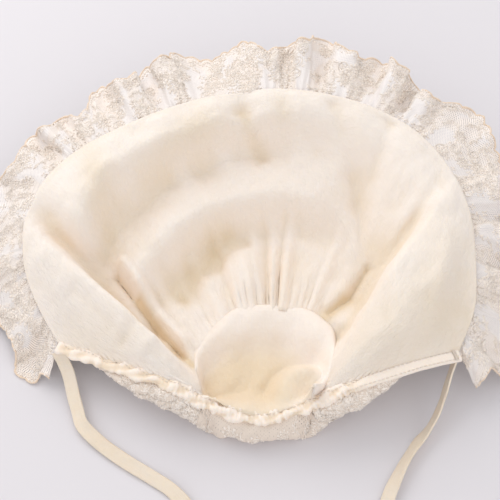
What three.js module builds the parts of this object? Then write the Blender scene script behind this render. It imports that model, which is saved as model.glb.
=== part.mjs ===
// A baby's bonnet, lying open on a table with its inside up.
// Two cloth walls, a plain lining and an outer shell, run from the face edge down to a D-shaped
// back panel. A gathered lace ruffle stands round the face edge, a ruched casing runs along
// the neck edge, and a flat tie comes out of each end of the casing.
// Millimetres, +Z up. The origin is on the table, under the middle of the back panel.
import * as THREE from "three";

// Driving dimensions
const FACE_WIDTH = 222; // widest reach of the face edge, from side to side
const FACE_DEPTH = 138; // from the origin to the far side of the face edge
const FACE_LIFT = 46; // height of the far side of the face edge over the table
const BACK_WIDTH = 68; // width of the back panel
const BACK_DEPTH = 30; // from the origin to the top of the back panel's seam
const NECK_DEPTH = 28.5; // from the origin to the middle of the neck edge
const NECK_LIFT = 15; // height of the middle of the neck edge
const CORNER_SHIFT = -7; // the face edge's middle lies this far to the right of the origin
const CLOTH = 1.0; // thickness of each cloth wall
const LAYER_GAP = 0.4; // between the lining and the shell
const SEAM_GAP = 1.0; // between the crown's lining and the back panel's
const SHELL_SEAM_GAP = 1.9; // between the two panels' shells, which meet on a bulge
const TRIM_GAP = 0.8; // from the face edge to the ruffle
const CASING_GAP = 0.9; // from the neck edge to the casing
const BULGE_REACH = 14; // how far the shell puffs out under the neck edge
const BULGE_SPAN = 34; // how much cloth above the neck edge takes part in the puff
const BULGE_DROP = 3.4; // how far under the neck edge the puff begins, to pass below the casing
const BULGE_SHIFT = -6; // the puff's middle, to the right of the origin
const BULGE_FROM = 0.5; // where the puff starts to fade to the sides, as a share of half the neck
const BULGE_TO = 0.95; // where it ends
const GATHER_HEIGHT = 1.3; // height of the gathers along the back panel's seam
const GATHERS = 11; // number of those gathers
const CASING_WIDTH = 5.6; // flat width of the neck casing
const CASING_THICKNESS = 3.0; // thickness of the neck casing
const PUCKER = 0.5; // depth of the casing's puckers
const PUCKERS = 34; // number of puckers along the casing
const RUFFLE_WIDTH = 31; // width of the lace ruffle
const RUFFLE_THICKNESS = 1.0; // thickness of the lace
const FLUTES = 22; // number of flutes in the ruffle
const FLUTE_HEIGHT = 6.0; // height of a flute at the ruffle's outer edge
const TIE_WIDTH = 7.0; // width of a tie
const TIE_THICKNESS = 1.4; // thickness of a tie

const SETTLE = 1.5; // how soon the cloth eases onto the table
const TABLE = CLOTH + LAYER_GAP / 2; // height of the middle surface where the cloth rests

// The face edge, from the left tie's corner round to the right tie's.
// across is a share of half FACE_WIDTH, back of FACE_DEPTH and lift of FACE_LIFT.
const FACE_EDGE = [
  { along: 0.0, across: -0.825, back: 0.06, lift: 0.35 },
  { along: 0.05, across: -0.915, back: 0.18, lift: 0.44 },
  { along: 0.1, across: -0.985, back: 0.315, lift: 0.55 },
  { along: 0.155, across: -1.0, back: 0.475, lift: 0.67 },
  { along: 0.2, across: -0.945, back: 0.61, lift: 0.76 },
  { along: 0.26, across: -0.8, back: 0.745, lift: 0.83 },
  { along: 0.34, across: -0.54, back: 0.87, lift: 0.89 },
  { along: 0.43, across: -0.225, back: 0.965, lift: 0.95 },
  { along: 0.52, across: 0.105, back: 1.0, lift: 1.0 },
  { along: 0.61, across: 0.44, back: 0.96, lift: 1.0 },
  { along: 0.7, across: 0.74, back: 0.83, lift: 0.98 },
  { along: 0.785, across: 0.93, back: 0.62, lift: 0.91 },
  { along: 0.86, across: 0.99, back: 0.39, lift: 0.81 },
  { along: 0.93, across: 0.985, back: 0.18, lift: 0.68 },
  { along: 1.0, across: 0.9, back: 0.0, lift: 0.52 },
];

// The seam round the back panel, met by the same shares along the face edge.
// across is a share of half BACK_WIDTH, back of BACK_DEPTH and lift of FACE_LIFT.
const BACK_SEAM = [
  { along: 0.0, across: -0.865, back: -0.7, lift: 0.43 },
  { along: 0.15, across: -0.9, back: -0.45, lift: 0.36 },
  { along: 0.172, across: -0.96, back: -0.13, lift: 0.2 },
  { along: 0.23, across: -0.965, back: 0.16, lift: 0.17 },
  { along: 0.31, across: -0.74, back: 0.57, lift: 0.16 },
  { along: 0.42, across: -0.32, back: 0.95, lift: 0.15 },
  { along: 0.52, across: 0.12, back: 1.0, lift: 0.15 },
  { along: 0.62, across: 0.53, back: 0.98, lift: 0.15 },
  { along: 0.7, across: 0.84, back: 0.74, lift: 0.16 },
  { along: 0.765, across: 1.0, back: 0.34, lift: 0.2 },
  { along: 0.79, across: 0.97, back: -0.2, lift: 0.46 },
  { along: 1.0, across: 0.68, back: -0.78, lift: 0.47 },
];

// The crown's sections, one for each change in its folds from the left cheek to the right one.
// The columns ending in At say how far in each ring of the section lies, as shares of the way to
// the back seam in plan. The columns without it are the rings' heights, as shares of FACE_LIFT.
const SECTION_COLUMNS = [
  "along", "browAt", "valleyAt", "ridgeAt", "bowlAt", "brow", "valley", "ridge", "bowl",
];
const SECTIONS = [
  [0, 0.14, 0.36, 0.58, 0.79, 0.37, 0.41, 0.48, 0.52],
  [0.07, 0.12, 0.32, 0.55, 0.78, 0.53, 0.59, 0.62, 0.58],
  [0.15, 0.1, 0.27, 0.5, 0.76, 0.73, 0.78, 0.76, 0.64],
  [0.172, 0.12, 0.34, 0.5, 0.76, 0.64, 0.36, 0.16, 0.12],
  [0.205, 0.22, 0.42, 0.6, 0.78, 0.84, 0.14, 0.26, 0.16],
  [0.23, 0.2, 0.4, 0.56, 0.75, 0.89, 0.08, 0.34, 0.1],
  [0.3, 0.13, 0.33, 0.5, 0.7, 0.92, -0.03, 0.42, 0.08],
  [0.36, 0.1, 0.28, 0.47, 0.66, 0.93, -0.02, 0.46, 0.07],
  [0.42, 0.08, 0.25, 0.45, 0.63, 0.95, 0.12, 0.47, 0.07],
  [0.52, 0.07, 0.21, 0.42, 0.61, 0.98, 0.3, 0.47, 0.09],
  [0.62, 0.08, 0.26, 0.42, 0.6, 0.96, 0.62, 0.42, 0.1],
  [0.67, 0.09, 0.36, 0.47, 0.63, 0.96, -0.02, 0.3, 0.12],
  [0.7, 0.1, 0.44, 0.56, 0.7, 0.96, 0.04, 0.22, 0.14],
  [0.75, 0.1, 0.5, 0.63, 0.78, 0.93, 0.16, 0.24, 0.14],
  [0.768, 0.1, 0.46, 0.6, 0.76, 0.88, 0.3, 0.3, 0.16],
  [0.79, 0.1, 0.28, 0.5, 0.74, 0.97, 0.96, 0.92, 0.72],
  [0.86, 0.1, 0.28, 0.5, 0.75, 0.88, 1.02, 1, 0.8],
  [0.93, 0.12, 0.32, 0.54, 0.77, 0.7, 0.84, 0.88, 0.72],
  [1, 0.14, 0.36, 0.58, 0.79, 0.58, 0.62, 0.62, 0.58],
].map((row) => Object.fromEntries(row.map((value, k) => [SECTION_COLUMNS[k], value])));

// Where those rings lie along the cloth, as shares of the way from the face edge to the back seam.
const RINGS = [
  { ring: "rim", along: 0.0 },
  { ring: "brow", along: 0.13 },
  { ring: "valley", along: 0.36 },
  { ring: "ridge", along: 0.53 },
  { ring: "bowl", along: 0.75 },
  { ring: "seam", along: 1.0 },
];

// Single folds that run from the face edge towards the seam. rimAt and seamAt are shares along the
// edge, from and to shares of the way in, and height a share of FACE_LIFT. before and after are the
// fold's half widths on its two sides, as shares of FACE_WIDTH.
const FOLDS = [
  { rimAt: 0.46, seamAt: 0.45, from: 0.7, to: 1.1, height: 0.08, before: 0.03, after: 0.02 },
  { rimAt: 0.53, seamAt: 0.55, from: 0.7, to: 1.1, height: 0.06, before: 0.03, after: 0.03 },
  { rimAt: 0.485, seamAt: 0.485, from: -0.1, to: 0.34, height: -0.08, before: 0.05, after: 0.035 },
  { rimAt: 0.185, seamAt: 0.18, from: -0.05, to: 0.34, height: -0.16, before: 0.03, after: 0.035 },
];

// The lining's lobe beside the right end of the back panel, as shares of BACK_WIDTH and FACE_LIFT.
const LOBE = { across: 0.3, back: -0.18, radius: 0.23, height: 0.24 };

// How finely the crown is cut along the face edge: closer at the creases and the gathers.
const CUTS = [
  { to: 0.06, steps: 4 },
  { to: 0.15, steps: 5 },
  { to: 0.172, steps: 3 },
  { to: 0.24, steps: 4 },
  { to: 0.7, steps: 31 },
  { to: 0.768, steps: 3 },
  { to: 0.79, steps: 3 },
  { to: 0.94, steps: 5 },
  { to: 1.0, steps: 4 },
];
const CROWN_ROWS = 12; // rows of faces from the face edge to the seam
const BACK_COLUMNS = 13; // columns of faces across the back panel
const BACK_ROWS = 6; // rows of faces from the back panel's seam to the neck edge

// Each tie's route from the end of the casing, in millimetres, with the turn of its flat
// side in degrees at each point.
const LEFT_TIE = [
  { x: -96.4, y: 0.6, z: 13.4, turn: 35 },
  { x: -93.5, y: -5.5, z: 9.0, turn: 30 },
  { x: -91.2, y: -14.0, z: 6.0, turn: 22 },
  { x: -88.6, y: -22.0, z: 4.4, turn: 25 },
  { x: -86.4, y: -28.5, z: 3.6, turn: 20 },
  { x: -81.5, y: -34.0, z: 2.6, turn: 10 },
  { x: -73.5, y: -40.5, z: 1.6, turn: 0 },
  { x: -62.5, y: -48.0, z: 1.2, turn: 0 },
  { x: -52.0, y: -54.5, z: 1.4, turn: 5 },
  { x: -42.5, y: -61.0, z: 1.8, turn: 15 },
  { x: -35.0, y: -69.0, z: 1.6, turn: 10 },
  { x: -30.0, y: -78.0, z: 1.2, turn: 0 },
  { x: -27.0, y: -88.0, z: 1.0, turn: 0 },
];
const RIGHT_TIE = [
  { x: 90.6, y: -5.4, z: 21.5, turn: 75 },
  { x: 88.2, y: -11.5, z: 17.0, turn: 75 },
  { x: 85.6, y: -19.0, z: 11.5, turn: 70 },
  { x: 82.6, y: -26.0, z: 7.4, turn: 65 },
  { x: 78.6, y: -32.0, z: 5.0, turn: 60 },
  { x: 73.0, y: -38.5, z: 4.2, turn: 45 },
  { x: 68.0, y: -45.5, z: 3.8, turn: 50 },
  { x: 63.0, y: -54.5, z: 3.4, turn: 40 },
  { x: 59.0, y: -62.5, z: 2.6, turn: 25 },
  { x: 56.0, y: -71.0, z: 1.8, turn: 10 },
  { x: 54.5, y: -80.0, z: 1.2, turn: 0 },
  { x: 54.0, y: -89.0, z: 1.0, turn: 0 },
];

const { PI, abs, cos, exp, hypot, max, min, sign, sin } = Math;

// A smooth curve through the points (xs, ys) that doesn't overshoot them, read at x.
function smooth(xs, ys, x) {
  const last = xs.length - 1;
  let i = 0;
  while (i < last - 1 && x > xs[i + 1]) i += 1;
  const slope = (k) => (ys[k + 1] - ys[k]) / (xs[k + 1] - xs[k]);
  const tangent = (k) => {
    if (k === 0) return slope(0);
    if (k === last) return slope(last - 1);
    const a = slope(k - 1);
    const b = slope(k);
    return a * b > 0 ? sign(a) * min(abs(a + b) / 2, 3 * min(abs(a), abs(b))) : 0;
  };
  const width = xs[i + 1] - xs[i];
  const t = (x - xs[i]) / width;
  const rise = t * t * (3 - 2 * t);
  return (
    ys[i] * (1 - rise) +
    ys[i + 1] * rise +
    width * t * (1 - t) * ((1 - t) * tangent(i) - t * tangent(i + 1))
  );
}

const column = (table, name) => table.map((row) => row[name]);
const read = (table, name, along) => smooth(column(table, "along"), column(table, name), along);

function ramp(low, high, x) {
  const t = min(1, max(0, (x - low) / (high - low)));
  return t * t * (3 - 2 * t);
}

// A point of the face edge, and one of the back seam met by the same share.
function faceEdge(u) {
  return new THREE.Vector3(
    CORNER_SHIFT + (read(FACE_EDGE, "across", u) * FACE_WIDTH) / 2,
    read(FACE_EDGE, "back", u) * FACE_DEPTH,
    read(FACE_EDGE, "lift", u) * FACE_LIFT,
  );
}

function backSeam(u) {
  return new THREE.Vector3(
    (read(BACK_SEAM, "across", u) * BACK_WIDTH) / 2,
    read(BACK_SEAM, "back", u) * BACK_DEPTH,
    read(BACK_SEAM, "lift", u) * FACE_LIFT,
  );
}

// The neck edge in plan: y for each x, through the four corners and the middle.
const NECK_STOPS = [
  faceEdge(0),
  backSeam(0),
  new THREE.Vector3(0, -NECK_DEPTH, NECK_LIFT),
  backSeam(1),
  faceEdge(1),
];
const neckBack = (x) => smooth(column(NECK_STOPS, "x"), column(NECK_STOPS, "y"), x);

// The middle surface between the crown's two walls. u runs along the face edge and v from it to
// the back seam.
function crown(u, v) {
  const rim = faceEdge(u);
  const seam = backSeam(u);
  const reaches = RINGS.map(({ ring }) => {
    if (ring === "rim") return 0;
    return ring === "seam" ? 1 : read(SECTIONS, `${ring}At`, u);
  });
  const lifts = RINGS.map(({ ring }) => {
    if (ring === "rim") return rim.z;
    return ring === "seam" ? seam.z : read(SECTIONS, ring, u) * FACE_LIFT;
  });
  const shares = column(RINGS, "along");
  const point = rim.clone().lerp(seam, smooth(shares, reaches, v));
  point.z = rested(smooth(shares, lifts, v) + folds(u, v) + gathers(u, v));
  return point;
}

// A height, eased onto the table where it would go below it.
function rested(z) {
  const over = z - TABLE;
  if (over > SETTLE) return z;
  return TABLE + max(0, over + SETTLE) ** 2 / (4 * SETTLE);
}

function folds(u, v) {
  let height = 0;
  for (const fold of FOLDS) {
    const centre = fold.rimAt + (fold.seamAt - fold.rimAt) * v;
    const away = (u - centre) * (FACE_WIDTH * 2 * (1 - v) + BACK_WIDTH * 2.2 * v);
    const width = FACE_WIDTH * (away < 0 ? fold.before : fold.after);
    const middle = (fold.from + fold.to) / 2;
    const fade = ramp(fold.from, middle, v) * (fold.to > 1 ? 1 : 1 - ramp(middle, fold.to, v));
    height += fold.height * FACE_LIFT * fade * exp(-((away / width) ** 2));
  }
  return height;
}

function gathers(u, v) {
  const from = 0.25;
  const to = 0.7;
  const share = (u - from) / (to - from);
  if (share < 0 || share > 1) return 0;
  const fade = ramp(0.66, 1, v) * ramp(0, 0.08, share) * (1 - ramp(0.92, 1, share));
  return GATHER_HEIGHT * fade * sin(2 * PI * GATHERS * share + 1.4 * sin(3 * PI * share));
}

// The middle surface of the back panel. s runs across it and t from its seam to the neck edge.
function backPanel(seamLine, neckLine, s, row, lobeHeight, gap) {
  const seam = seamLine.getPointAt(s);
  const neck = neckLine.getPointAt(s);
  const span = seam.distanceTo(neck);
  const trim = gap / max(span, 2 * gap);
  const t = trim + (1 - trim) * row;
  const point = seam.clone().lerp(neck, t);
  const sag = ramp(0, 0.32, t) * (1 - ramp(0.68, 1, t)) * ramp(0, BACK_DEPTH, span);
  const across = (point.x - LOBE.across * BACK_WIDTH) / (LOBE.radius * BACK_WIDTH);
  const back = (point.y - LOBE.back * BACK_WIDTH) / (LOBE.radius * BACK_WIDTH);
  const lobe = lobeHeight * FACE_LIFT * ramp(1, 0.45, hypot(across, back)) * (1 - ramp(0.8, 1, t));
  point.z = point.z + (TABLE - point.z) * sag + lobe;
  point.z = max(point.z, TABLE);
  return point;
}

// Puffs a point of the shell's middle surface out and down, under the neck edge.
function puffed(point) {
  const inside = point.y - neckBack(point.x);
  const reach = abs(NECK_STOPS[0].x);
  const side = 1 - ramp(BULGE_FROM * reach, BULGE_TO * reach, abs(point.x - BULGE_SHIFT));
  const share = min(1, max(0, inside / BULGE_SPAN));
  const turn = PI * min(1, (share / 0.55) ** 0.6);
  const under = (1 - cos(turn)) / 2;
  const away = 1 - ramp(0.55, 1, share);
  const tuck = BULGE_DROP * min(1, 10 * side) * (1 - ramp(0, 0.6, share));
  return new THREE.Vector3(
    point.x,
    point.y - side * BULGE_REACH * sin(turn),
    max(TABLE, point.z - tuck + (TABLE - point.z) * side * under * away),
  );
}

// A closed wall between two grids of points, one over the other.
function wall(over, under) {
  const rows = over.length;
  const columns = over[0].length;
  const at = (i, j, layer) => layer * rows * columns + i * columns + j;
  const faces = [];
  const quad = (a, b, c, d) => faces.push(a, c, b, a, d, c);
  for (let i = 0; i < rows - 1; i += 1) {
    for (let j = 0; j < columns - 1; j += 1) {
      quad(at(i, j, 0), at(i + 1, j, 0), at(i + 1, j + 1, 0), at(i, j + 1, 0));
      quad(at(i, j, 1), at(i, j + 1, 1), at(i + 1, j + 1, 1), at(i + 1, j, 1));
    }
  }
  for (let i = 0; i < rows - 1; i += 1) {
    quad(at(i, 0, 0), at(i, 0, 1), at(i + 1, 0, 1), at(i + 1, 0, 0));
    const j = columns - 1;
    quad(at(i, j, 0), at(i + 1, j, 0), at(i + 1, j, 1), at(i, j, 1));
  }
  for (let j = 0; j < columns - 1; j += 1) {
    quad(at(0, j, 0), at(0, j + 1, 0), at(0, j + 1, 1), at(0, j, 1));
    const i = rows - 1;
    quad(at(i, j, 0), at(i, j, 1), at(i, j + 1, 1), at(i, j + 1, 0));
  }
  const geometry = new THREE.BufferGeometry().setFromPoints([...over.flat(), ...under.flat()]);
  geometry.setIndex(faces);
  geometry.computeVertexNormals();
  return geometry;
}

// The upward unit normal at each point of a grid whose rows run along u and columns along v.
function normals(grid) {
  const rows = grid.length - 1;
  const columns = grid[0].length - 1;
  return grid.map((line, i) =>
    line.map((_, j) => {
      const alongRow = grid[min(rows, i + 1)][j].clone().sub(grid[max(0, i - 1)][j]);
      const alongColumn = line[min(columns, j + 1)].clone().sub(line[max(0, j - 1)]);
      return alongColumn.cross(alongRow).normalize();
    }),
  );
}

function shifted(grid, amount) {
  const up = normals(grid);
  return grid.map((line, i) => line.map((point, j) => point.clone().addScaledVector(up[i][j], amount)));
}

const liningOf = (grid) => wall(shifted(grid, LAYER_GAP / 2 + CLOTH), shifted(grid, LAYER_GAP / 2));
const shellOf = (grid) => wall(shifted(grid, -LAYER_GAP / 2), shifted(grid, -LAYER_GAP / 2 - CLOTH));

function steps(cuts) {
  const shares = [0];
  for (const { to, steps: count } of cuts) {
    const from = shares[shares.length - 1];
    for (let k = 1; k <= count; k += 1) shares.push(from + ((to - from) * k) / count);
  }
  return shares;
}

const even = (count) => Array.from({ length: count + 1 }, (_, k) => k / count);

const crownGrid = steps(CUTS).map((u) => even(CROWN_ROWS).map((v) => crown(u, v)));

const seamLine = new THREE.CatmullRomCurve3(even(40).map(backSeam), false, "centripetal");
const neckLine = new THREE.CatmullRomCurve3(
  even(12).map((s) => {
    const [left, middle, right] = NECK_STOPS.slice(1, 4);
    const x = left.x + (right.x - left.x) * s;
    return new THREE.Vector3(x, neckBack(x), smooth([0, 0.5, 1], [left.z, middle.z, right.z], s));
  }),
);
const blunt = 0.035; // the back panel stops this share short of its two pointed ends
const backGrid = (lobeHeight, gap) =>
  even(BACK_COLUMNS).map((s) => {
    const share = blunt + (1 - 2 * blunt) * s;
    return even(BACK_ROWS).map((t) => backPanel(seamLine, neckLine, share, t, lobeHeight, gap));
  });

// The neck edge from the left tie's corner to the right one's, along the middle surface.
const neckEdge = new THREE.CatmullRomCurve3(
  [
    ...even(7).map((v) => crown(0, v)),
    ...even(4).slice(1, -1).map((s) => neckLine.getPointAt(s)),
    ...even(7).map((v) => crown(1, 1 - v)),
  ],
  false,
  "centripetal",
);

const ring = (sides, place) =>
  Array.from({ length: sides }, (_, k) => place((2 * PI * k) / sides));

// A closed solid swept through rings of points.
function swept(rings) {
  const sides = rings[0].length;
  const points = rings.flat();
  const faces = [];
  for (let i = 0; i < rings.length - 1; i += 1) {
    for (let k = 0; k < sides; k += 1) {
      const a = i * sides + k;
      const b = i * sides + ((k + 1) % sides);
      faces.push(a, b, b + sides, a, b + sides, a + sides);
    }
  }
  const last = (rings.length - 1) * sides;
  for (let k = 1; k < sides - 1; k += 1) {
    faces.push(0, k + 1, k, last, last + k, last + k + 1);
  }
  const geometry = new THREE.BufferGeometry().setFromPoints(points);
  geometry.setIndex(faces);
  geometry.computeVertexNormals();
  return geometry;
}

function casing() {
  const stations = PUCKERS * 2 + 1;
  const sides = 8;
  const up = new THREE.Vector3(0, 0, 1);
  return swept(
    even(stations).map((s) => {
      const share = 0.004 + 0.992 * s;
      const edge = neckEdge.getPointAt(share);
      const tangent = neckEdge.getTangentAt(share);
      const out = tangent.clone().cross(up).normalize();
      const lift = out.clone().cross(tangent).normalize();
      const centre = edge.addScaledVector(out, CASING_GAP + CASING_WIDTH / 2);
      const pucker = PUCKER * cos(PI * PUCKERS * s * 2) * ramp(0.95, 0.8, s) * ramp(0.04, 0.12, s);
      return ring(sides, (angle) =>
        centre
          .clone()
          .addScaledVector(out, (CASING_WIDTH / 2 + pucker / 2) * cos(angle))
          .addScaledVector(lift, -(CASING_THICKNESS / 2 + pucker) * sin(angle)),
      );
    }),
  );
}

// The lace ruffle. u runs along the face edge and w from it to the free edge.
const RUFFLE_LEAN = [
  { along: 0.0, droop: 0.75, sweep: -0.75 },
  { along: 0.05, droop: 0.7, sweep: -0.2 },
  { along: 0.15, droop: 0.6, sweep: 0.0 },
  { along: 0.25, droop: 0.35, sweep: 0.0 },
  { along: 0.4, droop: 0.05, sweep: 0.0 },
  { along: 0.55, droop: -0.05, sweep: 0.0 },
  { along: 0.7, droop: 0.1, sweep: 0.0 },
  { along: 0.85, droop: 0.45, sweep: 0.0 },
  { along: 0.95, droop: 0.6, sweep: 0.1 },
  { along: 1.0, droop: 0.65, sweep: 0.7 },
];

function ruffle(u, w) {
  const step = 0.004;
  const rim = faceEdge(u);
  const tangent = faceEdge(min(1, u + step)).sub(faceEdge(max(0, u - step))).setZ(0).normalize();
  const out = new THREE.Vector3(-tangent.y, tangent.x, 0);
  out.addScaledVector(tangent, read(RUFFLE_LEAN, "sweep", u)).normalize();
  const droop = read(RUFFLE_LEAN, "droop", u);
  const phase = 2 * PI * FLUTES * u + 1.5 * sin(2 * PI * 3.3 * u) + 0.9 * sin(2 * PI * 7.1 * u + 1);
  const height = FLUTE_HEIGHT * (1 + 0.25 * sin(2 * PI * 4.7 * u + 2)) * w ** 0.8;
  const run = RUFFLE_WIDTH * w;
  const point = rim
    .addScaledVector(out, TRIM_GAP + run * cos(droop) * (1 - 0.12 * w * sin(phase)))
    .addScaledVector(tangent, -0.22 * height * sin(2 * phase));
  point.z += -run * sin(droop) + height * sin(phase);
  point.z = max(point.z, RUFFLE_THICKNESS / 2 + 0.3);
  return point;
}

const ruffleGrid = even(FLUTES * 6).map((u) => [0, 0.3, 0.65, 1].map((w) => ruffle(u, 1 - w)));

function ruffleSolid() {
  return wall(shifted(ruffleGrid, RUFFLE_THICKNESS / 2), shifted(ruffleGrid, -RUFFLE_THICKNESS / 2));
}

function tie(route) {
  const line = new THREE.CatmullRomCurve3(
    route.map(({ x, y, z }) => new THREE.Vector3(x, y, z)),
    false,
    "centripetal",
  );
  const stations = route.length * 2;
  const sides = 8;
  return swept(
    even(stations).map((s) => {
      const centre = line.getPoint(s);
      const tangent = line.getTangent(s);
      const across = tangent.clone().cross(new THREE.Vector3(0, 0, 1)).normalize();
      const turn = smooth(even(route.length - 1), column(route, "turn"), s) * (PI / 180);
      across.applyAxisAngle(tangent, turn);
      const lift = across.clone().cross(tangent).normalize();
      return ring(sides, (angle) =>
        centre
          .clone()
          .addScaledVector(across, (TIE_WIDTH / 2) * cos(angle))
          .addScaledVector(lift, -(TIE_THICKNESS / 2) * sin(angle)),
      );
    }),
  );
}

const cotton = new THREE.MeshStandardMaterial({ color: 0xf2e6d8, roughness: 0.95, metalness: 0 });
const lace = new THREE.MeshStandardMaterial({ color: 0xe9dac8, roughness: 0.95, metalness: 0 });
const tape = new THREE.MeshStandardMaterial({ color: 0xeadcc6, roughness: 0.9, metalness: 0 });

const bonnet = new THREE.Group();
function add(name, geometry, material) {
  const mesh = new THREE.Mesh(geometry, material);
  mesh.name = name;
  bonnet.add(mesh);
}

const puff = (grid) => grid.map((line) => line.map(puffed));
add("crown_lining", liningOf(crownGrid), cotton);
add("crown_shell", shellOf(puff(crownGrid)), lace);
add("back_lining", liningOf(backGrid(LOBE.height, SEAM_GAP)), cotton);
add("back_shell", shellOf(puff(backGrid(0, SHELL_SEAM_GAP))), lace);
add("neck_casing", casing(), cotton);
add("lace_ruffle", ruffleSolid(), lace);
add("tie_left", tie(LEFT_TIE), tape);
add("tie_right", tie(RIGHT_TIE), tape);

export default bonnet;
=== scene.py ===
"""A baby's bonnet, lying open on a table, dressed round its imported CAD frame."""

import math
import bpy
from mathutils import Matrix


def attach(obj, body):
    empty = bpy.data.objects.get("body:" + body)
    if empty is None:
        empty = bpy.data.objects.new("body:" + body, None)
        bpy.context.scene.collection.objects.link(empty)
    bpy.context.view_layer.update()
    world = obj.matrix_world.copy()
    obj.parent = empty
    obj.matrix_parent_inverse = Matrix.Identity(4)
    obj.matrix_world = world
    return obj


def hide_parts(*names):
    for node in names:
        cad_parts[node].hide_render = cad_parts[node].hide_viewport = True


bl_info = {
    "name": "Lace bonnet",
    "version": (1, 0, 0),
    "blender": (4, 5, 0),
    "location": "3D View > Sidebar > Bonnet",
    "description": "Builds a lined baby's bonnet with a lace ruffle round its packed frame",
    "category": "Add Mesh",
}

import bpy
import numpy as np
from bpy.props import FloatProperty, FloatVectorProperty, IntProperty, PointerProperty
from mathutils import Vector

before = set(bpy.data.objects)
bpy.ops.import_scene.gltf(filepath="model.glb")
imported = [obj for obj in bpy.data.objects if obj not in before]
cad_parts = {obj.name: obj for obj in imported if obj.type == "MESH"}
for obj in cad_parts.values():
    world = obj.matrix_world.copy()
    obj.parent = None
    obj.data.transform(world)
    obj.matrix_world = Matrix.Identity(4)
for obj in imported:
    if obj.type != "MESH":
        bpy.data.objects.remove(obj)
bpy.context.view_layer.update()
BODY = "root"
MM = 0.001

# The named sizes of the CAD part, in millimetres, and shares of them
FACE_WIDTH = 222.0
FACE_DEPTH = 138.0
FACE_LIFT = 46.0
BACK_WIDTH = 68.0
BACK_DEPTH = 30.0
NECK_DEPTH = 28.5
NECK_LIFT = 15.0
CORNER_SHIFT = -7.0
BULGE_REACH = 14.0
BULGE_SPAN = 34.0
BULGE_DROP = 1.8
BULGE_SHIFT = -6.0
BULGE_FROM = 0.5
BULGE_TO = 0.95
# The height at which cloth rests on the table, and over how much it settles there
TABLE = 1.2
SETTLE = 1.5
# Where along the face edge the gathers start, and how far they run
GATHERS_FROM = 0.22
GATHERS_SPAN = 0.5
# The flat sizes that the cloths' patterns are laid out on
CROWN_CLOTH = (440.0, 150.0)
PANEL_CLOTH = (80.0, 62.0)
LACE_RUN = 760.0
# How many points the cloths are cut into
LINING_CUTS = (380, 124)
SHELL_CUTS = (330, 112)
PANEL_CUTS = (110, 70)
RUFFLE_CUTS = (1300, 30)
# How far the lining's underside lies from the middle surface
LINING_LIFT = 0.25
# The casing's half width and half height, and how far its middle lies outside the neck edge
CASING_HALF_WIDTH = 3.15
CASING_HALF_HEIGHT = 1.2
CASING_REACH = 2.5
# The camera: where it aims, how far off it stands and how steeply it looks down, and its lens
CAMERA_AIM = Vector((-0.006, 0.0576, 0.020))
CAMERA_DISTANCE = 0.625
CAMERA_RISE = math.radians(60)
CAMERA_LENS = 90
# Each light's place, size, power and colour
LIGHTS = {
    "Window": ((-0.46, 0.72, 0.68), 0.95, 5.3, (1.0, 0.985, 0.965)),
    "Fill": ((0.3, -1.1, 0.8), 1.6, 3.0, (1.0, 0.955, 0.92)),
}
ROOM_COLOUR = (0.97, 0.975, 1.0, 1)
ROOM_STRENGTH = 0.83
FLOOR_COLOUR = (0.74, 0.713, 0.732, 1)
FLOOR_REACH = 3000.0

# The face edge and the back seam: shares of their sizes at shares of the way along them
FACE_EDGE = {
    "along": (0, 0.05, 0.1, 0.155, 0.2, 0.26, 0.34, 0.43, 0.52, 0.61, 0.7, 0.785, 0.86, 0.93, 1),
    "across": (
        -0.825, -0.915, -0.985, -1, -0.945, -0.8, -0.54, -0.225, 0.105, 0.44, 0.74, 0.93, 0.99,
        0.985, 0.9,
    ),
    "back": (
        0.06, 0.18, 0.315, 0.475, 0.61, 0.745, 0.87, 0.965, 1, 0.96, 0.83, 0.62, 0.39, 0.18, 0,
    ),
    "lift": (0.35, 0.44, 0.55, 0.67, 0.76, 0.83, 0.89, 0.95, 1, 1, 0.98, 0.91, 0.81, 0.68, 0.52),
}
BACK_SEAM = {
    "along": (0, 0.15, 0.172, 0.23, 0.31, 0.42, 0.52, 0.62, 0.7, 0.765, 0.79, 1),
    "across": (-0.865, -0.9, -0.96, -0.965, -0.74, -0.32, 0.12, 0.53, 0.84, 1, 0.97, 0.68),
    "back": (-0.7, -0.45, -0.13, 0.16, 0.57, 0.95, 1, 0.98, 0.74, 0.34, -0.2, -0.78),
    "lift": (0.43, 0.36, 0.2, 0.17, 0.16, 0.15, 0.15, 0.15, 0.16, 0.2, 0.46, 0.47),
}
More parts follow.
